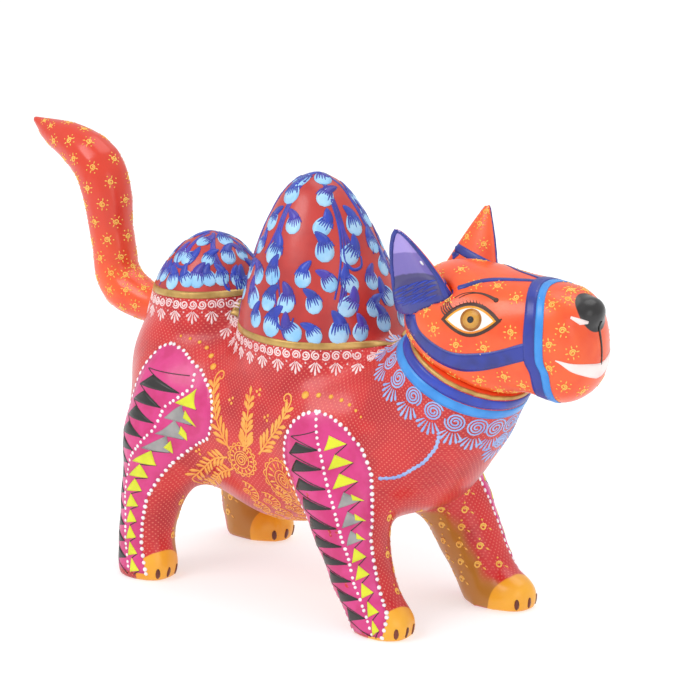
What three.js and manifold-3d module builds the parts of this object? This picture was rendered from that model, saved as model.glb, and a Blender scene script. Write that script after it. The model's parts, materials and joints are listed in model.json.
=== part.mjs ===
// A two-humped camel figure, carved from soft wood and painted all over.
// The torso, the four legs, the two humps and the head are carved blocks, glued together on dowels.
// The two ears and the tail end in a whittled peg, and pull out of their sockets.
//
// Millimetres, +X towards the nose, +Y towards the figure's left, +Z up, soles on Z = 0.

import * as THREE from 'three';
import { ConvexGeometry } from 'three/addons/geometries/ConvexGeometry.js';
import { LoftGeometry } from 'three/addons/geometries/LoftGeometry.js';
import { mergeVertices } from 'three/addons/utils/BufferGeometryUtils.js';
import Module from 'manifold-3d';

const wasm = await Module();
wasm.setup();

// ---- driving dimensions ----

const GAP = 0.3; // glue line between two mating faces, and play round a dowel or a peg
const WELD = 0.02;
const DOWEL_END_PLAY = 1; // each hole is this much deeper than its dowel
const BODY_STEP = 6; // facet size of the carved body
const HEAD_STEP = 4.6;
const ORIGIN = [7.5, 1]; // puts the origin under the middle of the whole figure

// Chains of rounded forms: [x, y, z, radius] along each centre line.
const TORSO = [
  [-57, 0, 72, 23.5],
  [-50, 0, 65, 26],
  [-30, 0, 60.5, 29.5],
  [-8, 0, 58, 32.5],
  [22, 0, 61.5, 30.5],
  [46, 0, 66, 26.5],
];
const NECK = [
  [46, 0, 66, 26],
  [61, 0, 80, 24.5],
  [75, 0, 98, 22.5],
];
const TORSO_BLEND = 8;
const LIMB_BLEND = 9; // how softly the neck and the legs run into the torso
const HUMP_BLEND = 7;

// foot: half length and half width where the hump sits; lean: how far its top lies behind its middle
const LARGE_HUMP = { at: [4, 0], foot: [30.5, 30], seat: 97, top: 152, lean: 4, bluntness: 1.1 };
const SMALL_HUMP = { at: [-51, 0], foot: [22, 21.5], seat: 97, top: 121.5, lean: -1, bluntness: 1.3 };
const HUMP_ROOT = 30; // how deep a hump's form runs on inside the torso

// Each leg: its own chain, the paw at its toe, and the round top [x, z, radius] of its haunch.
const LEGS = {
  right_front: {
    chain: [
      [24, -18, 64, 18],
      [33, -24, 49, 14.5],
      [41, -27, 36, 13],
      [46.5, -27, 19, 10.6],
      [52, -27, 9, 9.6],
      [55, -27, 0, 9.4],
    ],
    paw: [61.5, -27.5, 3.5, 8.2],
    haunch: [29, 57, 20],
  },
  right_rear: {
    chain: [
      [-46, -17, 64, 20],
      [-49, -24, 50, 16.5],
      [-52.5, -29.5, 30, 10.8],
      [-54, -31.5, 15, 9.3],
      [-54.5, -32.5, 0, 9.3],
    ],
    paw: [-48, -33, 4.5, 7.9],
    haunch: [-49, 57, 25],
  },
  left_front: {
    chain: [
      [24, 18, 64, 18],
      [35, 24.5, 46, 14],
      [43, 27, 33, 12.3],
      [49, 27.5, 22, 11.2],
      [56.5, 27, 11, 10.2],
      [62, 26.5, 0, 10.3],
    ],
    paw: [70.5, 26.5, 3.5, 8.6],
    haunch: [29, 57, 20],
  },
  left_rear: {
    chain: [
      [-46, 17, 64, 20],
      [-52, 24, 48, 16],
      [-59.5, 29, 30, 10.8],
      [-61, 30, 14, 9.6],
      [-57.5, 29.5, 0, 10],
    ],
    paw: [-48.5, 29.5, 4.5, 8.2],
    haunch: [-50, 57, 25],
  },
};
const PAW_BLEND = 5;
const HAUNCH_FACE = 15; // the flat glued face of a leg, out from the middle plane
const HOOF_OUTLINE = [22, 4]; // radius and height of the round lower end of a leg block's outline

const TAIL = [
  [-70, 0, 88.9, 6.3],
  [-79, 0, 89, 6.6],
  [-88, 0, 91, 7.8],
  [-94.6, 0, 93.6, 8.4],
  [-98.4, 0, 99, 8.2],
  [-99.4, 0, 106.5, 8],
  [-101.3, 0, 115, 8.1],
  [-102.7, 0, 126, 9],
  [-107.5, 0, 137, 9.2],
  [-118.5, 0, 143, 7.4],
  [-131, 0, 146.2, 4.6],
  [-140.5, 0, 149.6, 0.9],
];
const TAIL_RINGS = 26;
const TAIL_SIDES = 12;
const TAIL_PEG = { radius: 3.8, length: 12 };

const EARS = {
  right_ear: { side: -1, base: [63.6, -12.5, 117.5], tip: [57, -21, 147.6], narrowing: 1.3, roundness: 0.7 },
  left_ear: { side: 1, base: [63.5, 13.5, 117.5], tip: [66.6, 23, 145.6], narrowing: 1.05, roundness: 0.9 },
};
const EAR = { half_width: 12.8, half_depth: 4.6 }; // at its foot
const EAR_HOLLOW = { from: 0.12, to: 0.4, depth: 1.7 }; // where along the ear its face grows hollow
const EAR_TIP = 0.035; // what is left of the ear's width at its tip
const EAR_RINGS = 20;
const EAR_SIDES = 20;
const EAR_PEG = { radius: 2.8, length: 9 };
const EAR_SEAT = 14; // how far the straight seat in the head runs up along the ear

const NOSE = { at: [121, 0, 120.8], radii: [5.4, 6.6, 5.6] };
const HEAD_CUT = { at: [75, 0, 98], tilt: 25, back: 30, front: 105 }; // flat joint between neck and head
const HEAD_TURN = { about: [74, 0, 108], yaw: 8, roll: 4 }; // degrees: looks a little left, left side up
const DOWELS = {
  neck_dowel: { from: [70, 0, 87], to: [80, 0, 109], radius: 4 },
  large_hump_front_dowel: { from: [17, 0, 82], to: [17, 0, 110], radius: 4 },
  large_hump_rear_dowel: { from: [-9, 0, 82], to: [-9, 0, 110], radius: 4 },
  small_hump_dowel: { from: [-51, 0, 84], to: [-51, 0, 108], radius: 4 },
  right_front_leg_dowel: { from: [28, -6, 56], to: [28, -25, 56], radius: 3 },
  right_rear_leg_dowel: { from: [-49, -6, 57], to: [-49, -26, 57], radius: 3 },
  left_front_leg_dowel: { from: [28, 6, 56], to: [28, 25, 56], radius: 3 },
  left_rear_leg_dowel: { from: [-49, 6, 57], to: [-49, 26, 57], radius: 3 },
};
const ROD_SIDES = 16;

const COLOURS = { red: 0xc8202a, orange: 0xf2592a, blue: 0x3b6fd0, bareWood: 0xd8b98a };

// ---- rounded forms, as functions of a point that are negative inside the form ----

function blend(a, b, softness) {
  const h = Math.max(softness - Math.abs(a - b), 0) / softness;
  return Math.min(a, b) - h * h * softness / 4;
}

function carve(a, b, softness) {
  return -blend(-a, b, softness);
}

// One rounded cone between two spheres [x, y, z, radius].
function roundedCone([ax, ay, az, ar], [bx, by, bz, br]) {
  const along = [bx - ax, by - ay, bz - az];
  const lengthSquared = along[0] ** 2 + along[1] ** 2 + along[2] ** 2;
  return (x, y, z) => {
    const run = (x - ax) * along[0] + (y - ay) * along[1] + (z - az) * along[2];
    const t = THREE.MathUtils.clamp(run / lengthSquared, 0, 1);
    const radius = ar + t * (br - ar);
    return Math.hypot(x - ax - t * along[0], y - ay - t * along[1], z - az - t * along[2]) - radius;
  };
}

const FAR = 1e6; // farther from any form than any point asked about

function chain(points, softness = 2) {
  const cones = points.slice(1).map((point, i) => roundedCone(points[i], point));
  return (x, y, z) => cones.reduce((d, cone) => blend(d, cone(x, y, z), softness), FAR);
}

// An egg; a power over 2 makes it squarer.
function egg([cx, cy, cz], [rx, ry, rz], power = 2) {
  const least = Math.min(rx, ry, rz);
  return (x, y, z) => {
    const sum = Math.abs((x - cx) / rx) ** power
      + Math.abs((y - cy) / ry) ** power
      + Math.abs((z - cz) / rz) ** power;
    return (sum ** (1 / power) - 1) * least;
  };
}

// A hump: a round-topped cone that goes on down inside the torso.
function hump({ at, foot, seat, top, lean, bluntness }) {
  return (x, y, z) => {
    const h = THREE.MathUtils.clamp((z - seat) / (top - seat), 0, 1);
    const narrow = Math.sqrt(1 - h ** bluntness);
    const reach = Math.hypot((x - at[0] + lean * h) / foot[0], (y - at[1]) / foot[1]);
    const side = (reach - narrow) * Math.min(...foot);
    return Math.max(side, z - top, seat - HUMP_ROOT - z);
  };
}

function leg({ chain: points, paw: [px, py, pz, radius] }) {
  const shank = chain(points);
  const paw = egg([px, py, pz], [radius, radius, radius]);
  return (x, y, z) => blend(shank(x, y, z), paw(x, y, z), PAW_BLEND);
}

const torsoForm = chain(TORSO, TORSO_BLEND);
const neckForm = chain(NECK, 4);
const humpForms = [LARGE_HUMP, SMALL_HUMP].map(hump);
const legForms = Object.values(LEGS).map(leg);

function bodyForm(x, y, z) {
  const trunk = blend(torsoForm(x, y, z), neckForm(x, y, z), LIMB_BLEND);
  const humped = humpForms.reduce((d, form) => blend(d, form(x, y, z), HUMP_BLEND), trunk);
  return legForms.reduce((d, form) => blend(d, form(x, y, z), LIMB_BLEND), humped);
}

const skull = egg([77, 0, 107.5], [25, 22.5, 22.5], 2.3);
const crown = chain([[68, 0, 113, 17.5], [96, 0, 110.5, 17.5]]);
const snout = chain([[94, 0, 108.5, 18], [106, 0, 107.8, 18.5]]);
const muzzle = egg([107.6, 0, 108.4], [16, 15, 19.4], 3);
const throat = chain([[101.5, -22, 83.5, 8], [101.5, 22, 83.5, 8]]);
const SNOUT_FLATNESS = 1.3; // the snout is narrower than it is tall

function headForm(x, y, z) {
  const back = blend(skull(x, y, z), crown(x, y, z), 6);
  const front = blend(snout(x, y * SNOUT_FLATNESS, z), muzzle(x, y, z), 6);
  return carve(blend(back, front, 6), throat(x, y, z), 4);
}

// ---- from a rounded form to a closed mesh ----

const CELL_CORNERS = [
  [0, 0, 0], [1, 0, 0], [0, 1, 0], [1, 1, 0],
  [0, 0, 1], [1, 0, 1], [0, 1, 1], [1, 1, 1],
];
const CELL_EDGES = [
  [0, 1], [2, 3], [4, 5], [6, 7],
  [0, 2], [1, 3], [4, 6], [5, 7],
  [0, 4], [1, 5], [2, 6], [3, 7],
];

// Moves a point onto the form's surface by one Newton step.
function settle(form, [x, y, z]) {
  const e = 0.05;
  const here = form(x, y, z);
  const slope = [form(x + e, y, z), form(x, y + e, z), form(x, y, z + e)].map((value) => (value - here) / e);
  const steepness = slope[0] ** 2 + slope[1] ** 2 + slope[2] ** 2;
  const k = here / Math.max(0.25, steepness);
  return [x - k * slope[0], y - k * slope[1], z - k * slope[2]];
}

// The middle of the places where the surface crosses one cell's edges, or null where it doesn't cross.
function cellMiddle(values) {
  const crossed = CELL_EDGES.filter(([a, b]) => (values[a] < 0) !== (values[b] < 0));
  if (!crossed.length) return null;
  const sum = new THREE.Vector3();
  for (const [a, b] of crossed) {
    const from = new THREE.Vector3(...CELL_CORNERS[a]);
    const to = new THREE.Vector3(...CELL_CORNERS[b]);
    sum.add(from.lerp(to, values[a] / (values[a] - values[b])));
  }
  return sum.divideScalar(crossed.length);
}

// Surface nets over a box: one vertex in each crossed cell, two triangles across each crossed grid edge.
function skin(form, low, high, step) {
  const count = high.map((h, axis) => Math.ceil((h - low[axis]) / step) + 1);
  const at = (i, j, k) => i + count[0] * (j + count[1] * k);
  const place = (i, j, k) => [low[0] + i * step, low[1] + j * step, low[2] + k * step];
  const eachCell = (visit) => {
    for (let k = 0; k < count[2] - 1; k++)
      for (let j = 0; j < count[1] - 1; j++)
        for (let i = 0; i < count[0] - 1; i++) visit(i, j, k);
  };

  const values = new Float64Array(count[0] * count[1] * count[2]).fill(1);
  eachCell((i, j, k) => {
    values[at(i, j, k)] = form(...place(i, j, k));
  });

  const positions = [];
  const vertices = new Int32Array(values.length);
  eachCell((i, j, k) => {
    const corners = CELL_CORNERS.map(([a, b, c]) => values[at(i + a, j + b, k + c)]);
    const middle = cellMiddle(corners);
    if (!middle) return;
    vertices[at(i, j, k)] = positions.length / 3;
    positions.push(...settle(form, place(i + middle.x, j + middle.y, k + middle.z)));
  });

  const index = [];
  const quad = (inside, a, b, c, d) => {
    if (inside) index.push(a, b, c, a, c, d);
    else index.push(a, c, b, a, d, c);
  };
  eachCell((i, j, k) => {
    const inside = values[at(i, j, k)] < 0;
    const cell = (di, dj, dk) => vertices[at(i - di, j - dj, k - dk)];
    const crosses = (di, dj, dk) => inside !== (values[at(i + di, j + dj, k + dk)] < 0);
    if (crosses(1, 0, 0)) quad(inside, cell(0, 1, 1), cell(0, 0, 1), cell(0, 0, 0), cell(0, 1, 0));
    if (crosses(0, 1, 0)) quad(inside, cell(1, 0, 1), cell(1, 0, 0), cell(0, 0, 0), cell(0, 0, 1));
    if (crosses(0, 0, 1)) quad(inside, cell(1, 1, 0), cell(0, 1, 0), cell(0, 0, 0), cell(1, 0, 0));
  });
  const geometry = new THREE.BufferGeometry();
  geometry.setAttribute('position', new THREE.Float32BufferAttribute(positions, 3));
  geometry.setIndex(index);
  return geometry;
}

// ---- closed meshes in and out of the boolean library ----

function solid(geometry) {
  const bare = new THREE.BufferGeometry().copy(geometry);
  bare.deleteAttribute('normal');
  bare.deleteAttribute('uv');
  const merged = mergeVertices(bare);
  return new wasm.Manifold(new wasm.Mesh({
    numProp: 3,
    vertProperties: merged.getAttribute('position').array,
    triVerts: new Uint32Array(merged.index.array),
  }));
}

// The cut piece as a geometry. Corners closer than WELD become one, and the slivers between them go.
function geometryOf(made) {
  const { vertProperties, triVerts } = made.getMesh();
  const cut = new THREE.BufferGeometry();
  cut.setAttribute('position', new THREE.BufferAttribute(vertProperties.slice(), 3));
  cut.setIndex(new THREE.BufferAttribute(triVerts.slice(), 1));
  const geometry = mergeVertices(cut, WELD);
  const corners = geometry.index.array;
  const kept = [];
  for (let i = 0; i < corners.length; i += 3) {
    const [a, b, c] = corners.slice(i, i + 3);
    if (a !== b && b !== c && c !== a) kept.push(a, b, c);
  }
  geometry.setIndex(kept);
  geometry.computeVertexNormals();
  return geometry;
}

// ---- rods, blocks and cutting planes ----

function rod(from, to, radius) {
  const start = new THREE.Vector3(...from);
  const run = new THREE.Vector3(...to).sub(start);
  const geometry = new THREE.CylinderGeometry(radius, radius, run.length(), ROD_SIDES);
  const turn = new THREE.Quaternion().setFromUnitVectors(new THREE.Vector3(0, 1, 0), run.clone().normalize());
  return geometry.applyQuaternion(turn).translate(...start.addScaledVector(run, 0.5));
}

function block(low, high) {
  const size = high.map((h, axis) => h - low[axis]);
  return new THREE.BoxGeometry(...size).translate(...low.map((l, axis) => l + size[axis] / 2));
}

// A dowel's hole: as wide as the dowel and its play, and a little deeper at both ends.
function hole({ from, to, radius }) {
  const start = new THREE.Vector3(...from);
  const end = new THREE.Vector3(...to);
  const axis = end.clone().sub(start).normalize();
  start.addScaledVector(axis, -DOWEL_END_PLAY);
  end.addScaledVector(axis, DOWEL_END_PLAY);
  return solid(rod(start, end, radius + GAP));
}

function drill(piece, ...names) {
  return names.reduce((made, name) => made.subtract(hole(DOWELS[name])), piece);
}

// Everything past the joint plane of the neck, moved out along the neck by an offset.
function pastNeck(offset) {
  const { at, tilt, back, front } = HEAD_CUT;
  const geometry = block([-back, -60, offset], [front, 60, 100]);
  return solid(geometry.rotateY(THREE.MathUtils.degToRad(tilt)).translate(...at));
}

function aboveSeat({ at, foot, seat }, offset) {
  const reach = foot[0] + 4 + offset;
  return solid(block([at[0] - reach, -50, seat - offset], [at[0] + reach, 50, 200]));
}

// The block a leg is carved from: seen from the side, a round haunch that tapers to the hoof.
function legBlock({ chain: points, paw, haunch }, offset) {
  const side = Math.sign(paw[1]);
  const [hoofRadius, hoofHeight] = HOOF_OUTLINE;
  const hoof = [(points.at(-1)[0] + paw[0]) / 2, hoofHeight, hoofRadius];
  const corners = [];
  for (const [cx, cz, radius] of [haunch, hoof]) {
    const outline = new THREE.EllipseCurve(cx, cz, radius + offset, radius + offset).getPoints(32);
    for (const { x, y: z } of outline)
      for (const y of [HAUNCH_FACE - offset, 60]) corners.push(new THREE.Vector3(x, side * y, z));
  }
  return solid(new ConvexGeometry(corners));
}

// ---- the glued pieces ----

const pieces = {};
const carcass = solid(skin(bodyForm, [-98.5, -56.5, -22], [112, 58, 162], BODY_STEP))
  .intersect(solid(block([-200, -100, 0], [200, 100, 200])));

let torso = carcass.subtract(pastNeck(-GAP / 2));
for (const [name, shape] of Object.entries(LEGS)) {
  pieces[name + '_leg'] = drill(carcass.intersect(legBlock(shape, 0)), name + '_leg_dowel');
  torso = torso.subtract(legBlock(shape, GAP));
}
pieces.large_hump = drill(
  carcass.intersect(aboveSeat(LARGE_HUMP, 0)),
  'large_hump_front_dowel', 'large_hump_rear_dowel',
);
pieces.small_hump = drill(
  carcass.intersect(aboveSeat(SMALL_HUMP, 0)).subtract(aboveSeat(LARGE_HUMP, GAP)),
  'small_hump_dowel',
);
torso = torso.subtract(aboveSeat(LARGE_HUMP, GAP)).subtract(aboveSeat(SMALL_HUMP, GAP));
pieces.torso = drill(torso, ...Object.keys(DOWELS));

// The head and the ears are drawn looking straight ahead, then turned on the neck.
function turned(geometry) {
  const { about, yaw, roll } = HEAD_TURN;
  return geometry
    .translate(-about[0], -about[1], -about[2])
    .rotateX(THREE.MathUtils.degToRad(roll))
    .rotateZ(THREE.MathUtils.degToRad(yaw))
    .translate(...about);
}

const face = skin(headForm, [45, -32, 80], [152, 34, 144], HEAD_STEP);
const nose = new THREE.SphereGeometry(1, 18, 12).scale(...NOSE.radii).translate(...NOSE.at);
const head = solid(turned(face)).add(solid(turned(nose))).intersect(pastNeck(GAP / 2));
pieces.head = drill(head, 'neck_dowel');

// ---- the ears and the tail, which pull out ----

// Where an ear stands: its foot, its tip and its three directions.
function earFrame({ side, base: foot, tip: top, narrowing, roundness }) {
  const base = new THREE.Vector3(...foot);
  const tip = new THREE.Vector3(...top);
  const along = tip.clone().sub(base).normalize();
  const across = new THREE.Vector3(1, 0, 0).addScaledVector(along, -along.x).normalize();
  const outward = new THREE.Vector3().crossVectors(along, across);
  return { side, base, tip, along, across, outward, narrowing, roundness };
}

// One leaf-shaped section at t of an ear's height: rounded behind, hollow in front.
function earSection({ side, base, tip, across, outward, narrowing, roundness }, t, offset = 0) {
  const narrow = (1 - t ** narrowing) ** roundness + EAR_TIP;
  const hollow = EAR_HOLLOW.depth * THREE.MathUtils.smoothstep(t, EAR_HOLLOW.from, EAR_HOLLOW.to);
  const ring = [];
  for (let j = 0; j < EAR_SIDES; j++) {
    const angle = j / EAR_SIDES * Math.PI * 2;
    const facing = Math.max(0, side * Math.sin(angle));
    const width = (EAR.half_width * narrow + offset) * Math.cos(angle);
    const depth = (EAR.half_depth * narrow * (1 - hollow * facing) + offset) * Math.sin(angle);
    ring.push(base.clone().lerp(tip, t).addScaledVector(across, width).addScaledVector(outward, depth));
  }
  return ring;
}

function earShell(frame) {
  const sections = [];
  for (let i = 0; i <= EAR_RINGS; i++) sections.push(earSection(frame, i / EAR_RINGS));
  return new LoftGeometry(sections, { capStart: true, capEnd: true });
}

// The seat keeps the outline of the ear's foot all the way up, so that the ear slides out of it.
function earSeat(frame) {
  const sections = [-GAP, EAR_SEAT].map((rise) =>
    earSection(frame, 0, GAP).map((point) => point.addScaledVector(frame.along, rise)));
  return new LoftGeometry(sections, { capStart: true, capEnd: true });
}

for (const [name, ear] of Object.entries(EARS)) {
  const frame = earFrame(ear);
  const { base, along } = frame;
  const root = base.clone().addScaledVector(along, 2);
  const pegEnd = base.clone().addScaledVector(along, -EAR_PEG.length);
  const socketEnd = pegEnd.clone().addScaledVector(along, -DOWEL_END_PLAY);
  const peg = solid(turned(rod(pegEnd, root, EAR_PEG.radius)));
  const socket = solid(turned(rod(socketEnd, root, EAR_PEG.radius + GAP)));
  pieces[name] = solid(turned(earShell(frame))).add(peg);
  pieces.head = pieces.head.subtract(solid(turned(earSeat(frame)))).subtract(socket);
}

// The tail is a loft of round sections along a curve that lies in the middle plane.
function tailShell(offset) {
  const centres = TAIL.map(([x, y, z]) => new THREE.Vector3(x, y, z));
  const line = new THREE.CatmullRomCurve3(centres, false, 'centripetal');
  const radii = new THREE.SplineCurve(TAIL.map(([, , , radius], i) => new THREE.Vector2(i, radius)));
  const across = new THREE.Vector3(0, 1, 0);
  const sections = [];
  for (let i = 0; i <= TAIL_RINGS; i++) {
    const t = i / TAIL_RINGS;
    const upward = new THREE.Vector3().crossVectors(line.getTangent(t), across).normalize();
    const radius = radii.getPoint(t).y + offset;
    const ring = [];
    for (let j = 0; j < TAIL_SIDES; j++) {
      const angle = j / TAIL_SIDES * Math.PI * 2;
      ring.push(line.getPoint(t)
        .addScaledVector(across, radius * Math.cos(angle))
        .addScaledVector(upward, radius * Math.sin(angle)));
    }
    sections.push(ring);
  }
  return solid(new LoftGeometry(sections, { capStart: true, capEnd: true }));
}

const [rootX, , rootZ, rootRadius] = TAIL[0];
const tailRod = (length, radius) => solid(rod([rootX + length, 0, rootZ], [rootX - 2, 0, rootZ], radius));
pieces.tail = tailShell(0).add(tailRod(TAIL_PEG.length, TAIL_PEG.radius));
pieces.torso = pieces.torso
  .subtract(tailShell(GAP))
  .subtract(tailRod(GAP, rootRadius + GAP))
  .subtract(tailRod(TAIL_PEG.length + DOWEL_END_PLAY, TAIL_PEG.radius + GAP));

// ---- the assembly ----

const figure = new THREE.Group();
figure.position.set(...ORIGIN, 0);

function place(name, geometry, color) {
  const paint = new THREE.MeshStandardMaterial({ color, roughness: 0.45, metalness: 0 });
  const mesh = new THREE.Mesh(geometry, paint);
  mesh.name = name;
  figure.add(mesh);
}

const ORANGE_PIECES = ['head', 'right_ear', 'left_ear', 'tail'];
for (const [name, made] of Object.entries(pieces)) {
  const body = name.endsWith('hump') ? COLOURS.blue : COLOURS.red;
  place(name, geometryOf(made), ORANGE_PIECES.includes(name) ? COLOURS.orange : body);
}
for (const [name, { from, to, radius }] of Object.entries(DOWELS))
  place(name, rod(from, to, radius), COLOURS.bareWood);

export default figure;
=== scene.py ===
import json
import math
import random
import bpy
import bmesh
from mathutils import Matrix, Vector
from mathutils.bvhtree import BVHTree


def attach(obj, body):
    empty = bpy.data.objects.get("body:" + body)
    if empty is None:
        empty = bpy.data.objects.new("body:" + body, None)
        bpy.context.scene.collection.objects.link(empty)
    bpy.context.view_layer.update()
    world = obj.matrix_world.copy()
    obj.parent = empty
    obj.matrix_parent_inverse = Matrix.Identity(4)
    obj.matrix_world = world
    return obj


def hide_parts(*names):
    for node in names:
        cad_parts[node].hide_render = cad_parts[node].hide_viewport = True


# A carved and painted two-humped camel figure. Lengths below are millimetres in the figure's own frame.

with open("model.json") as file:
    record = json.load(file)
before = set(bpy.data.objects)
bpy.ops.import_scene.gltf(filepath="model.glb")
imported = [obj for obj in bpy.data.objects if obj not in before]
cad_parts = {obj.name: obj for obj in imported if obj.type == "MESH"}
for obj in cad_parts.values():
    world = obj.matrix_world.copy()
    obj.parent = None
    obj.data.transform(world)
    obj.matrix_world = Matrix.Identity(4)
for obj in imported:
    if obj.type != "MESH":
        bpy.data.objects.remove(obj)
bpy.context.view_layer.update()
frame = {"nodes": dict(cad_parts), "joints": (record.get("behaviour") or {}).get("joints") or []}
nodes = frame["nodes"]
mm = 0.001
dice = random.Random(11)


# camera, light and floor; a light's row is its place and width in metres and its power in watts
studio = {
    "target": (-0.44, 27.96, 79.6),
    "azimuth": 42, "elevation": 15.4, "distance": 2000, "lens": 285.7, "sensor": 36, "clipEnd": 20,
    "floorColour": "c9cbcc", "floorGlow": 0.52, "floorHalf": 12,
    "worldColour": "ffffff", "worldStrength": 0.76,
    "lights": {"key": ((-0.35, -1.1, 1.25), 0.9, 8.6), "fill": ((1.3, -0.5, 0.55), 0.9, 2.2),
               "top": ((0.1, 0.5, 1.4), 1.2, 5.2)},
    "lightTarget": (0, 0, 0.07),
}


def tint(hexCode):
    # sRGB hex to the linear colour that the shader takes
    parts = [int(hexCode[i:i + 2], 16) / 255 for i in (0, 2, 4)]
    return [c / 12.92 if c <= 0.04045 else ((c + 0.055) / 1.055) ** 2.4 for c in parts] + [1]


def put(obj):
    bpy.context.scene.collection.objects.link(obj)
    return obj


def aim(obj, target):
    obj.rotation_euler = (Vector(target) - obj.location).to_track_quat("-Z", "Y").to_euler()


def softLight(name, spot, size, power):
    light = bpy.data.lights.new(name, "AREA")
    light.shape, light.size, light.energy = "DISK", size, power
    obj = put(bpy.data.objects.new(name, light))
    obj.location = spot
    aim(obj, studio["lightTarget"])


def setStudio():
    turn, rise = math.radians(studio["azimuth"]), math.radians(studio["elevation"])
    target = Vector(studio["target"]) * mm
    lookFrom = Vector((math.cos(rise) * math.sin(turn), -math.cos(rise) * math.cos(turn), math.sin(rise)))
    camera = put(bpy.data.objects.new("camera", bpy.data.cameras.new("camera")))
    camera.data.sensor_width, camera.data.lens = studio["sensor"], studio["lens"]
    camera.data.clip_end = studio["clipEnd"]
    camera.location = target + lookFrom * studio["distance"] * mm
    aim(camera, target)
    bpy.context.scene.camera = camera
    for name, light in studio["lights"].items():
        softLight(name, *light)
    world = bpy.data.worlds.new("studio")
    bpy.context.scene.world = world
    world.use_nodes = True
    backdrop = world.node_tree.nodes["Background"]
    backdrop.inputs["Color"].default_value = tint(studio["worldColour"])
    backdrop.inputs["Strength"].default_value = studio["worldStrength"]
    bpy.context.scene.view_settings.view_transform = "Standard"
    bm = bmesh.new()
    bmesh.ops.create_grid(bm, x_segments=1, y_segments=1, size=studio["floorHalf"])
    floor = meshObject("floor", bm)
    floor.data.materials.append(plainFinish("floorPaper", studio["floorColour"], 0.9, studio["floorGlow"]))


def meshObject(name, bm):
    mesh = bpy.data.meshes.new(name)
    bm.to_mesh(mesh)
    bm.free()
    return put(bpy.data.objects.new(name, mesh))


def applied(obj):
    # the object's modifiers become its mesh
    view = bpy.context.evaluated_depsgraph_get()
    mesh = bpy.data.meshes.new_from_object(obj.evaluated_get(view))
    obj.modifiers.clear()
    obj.data = mesh
    return obj


def modifier(obj, kind, **settings):
    made = obj.modifiers.new(kind.lower(), kind)
    for key, value in settings.items():
        setattr(made, key, value)


def keepOuterShell(bm):
    # a remesh of hollow parts leaves inner skins behind; the outermost shell stays
    start = max(bm.verts, key=lambda v: v.co.x)
    seen, waiting = {start}, [start]
    while waiting:
        for edge in waiting.pop().link_edges:
            for v in edge.verts:
                if v not in seen:
                    seen.add(v)
                    waiting.append(v)
    bmesh.ops.delete(bm, geom=[v for v in bm.verts if v not in seen], context="VERTS")


def carvedForm(name, sources, voxel, rounds, swell, regain):
    # the CAD solids joined, remeshed fine and sanded smooth
    bm = bmesh.new()
    for source in sources:
        bm.from_mesh(nodes[source].data)
    bmesh.ops.remove_doubles(bm, verts=bm.verts, dist=0.002 * mm)
    obj = meshObject(name, bm)
    modifier(obj, "DISPLACE", strength=swell * mm, mid_level=0)
    modifier(obj, "REMESH", mode="VOXEL", voxel_size=voxel * mm)
    applied(obj)
    bm = bmesh.new()
    bm.from_mesh(obj.data)
    keepOuterShell(bm)
    bm.to_mesh(obj.data)
    bm.free()
    modifier(obj, "SMOOTH", factor=0.5, iterations=rounds)
    modifier(obj, "DISPLACE", strength=regain * mm, mid_level=0)
    return applied(obj)


def shadeCarved(obj, angle=42):
    bm = bmesh.new()
    bm.from_mesh(obj.data)
    for face in bm.faces:
        face.smooth = True
    for edge in bm.edges:
        edge.smooth = len(edge.link_faces) < 2 or edge.calc_face_angle(0) < math.radians(angle)
    bm.to_mesh(obj.data)
    bm.free()


def nodeGroup(name, inputs, outputs):
    group = bpy.data.node_groups.new(name, "ShaderNodeTree")
    for label, kind, value in inputs:
        socket = group.interface.new_socket(label, in_out="INPUT", socket_type=kind)
        if value is not None:
            socket.default_value = value
    for label, kind in outputs:
        group.interface.new_socket(label, in_out="OUTPUT", socket_type=kind)
    return group, group.nodes.new("NodeGroupInput"), group.nodes.new("NodeGroupOutput")


def wire(tree, kind, *sources, **settings):
    # a node whose inputs are filled in order, by a socket or by a value
    node = tree.nodes.new(kind)
    for key, value in settings.items():
        setattr(node, key, value)
    for socket, source in zip(node.inputs, sources):
        if source is None:
            continue
        if isinstance(source, bpy.types.NodeSocket):
            tree.links.new(source, socket)
        else:
            socket.default_value = source
    return node


def sums(tree, operation, a, b=None, c=None):
    return wire(tree, "ShaderNodeMath", a, b, c, operation=operation).outputs[0]


def between(tree, value, low, high):
    # 0 below low, 1 above high, softly between
    node = wire(tree, "ShaderNodeMapRange", value, low, high, 0.0, 1.0, interpolation_type="SMOOTHSTEP")
    return node.outputs[0]


def mixColour(tree, factor, a, b):
    node = tree.nodes.new("ShaderNodeMix")
    node.data_type = "RGBA"
    for socket, source in ((node.inputs[0], factor), (node.inputs[6], a), (node.inputs[7], b)):
        if isinstance(source, bpy.types.NodeSocket):
            tree.links.new(source, socket)
        else:
            socket.default_value = source
    return node.outputs[2]


def objectPoint(tree):
    return tree.nodes.new("ShaderNodeTexCoord").outputs["Object"]


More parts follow.
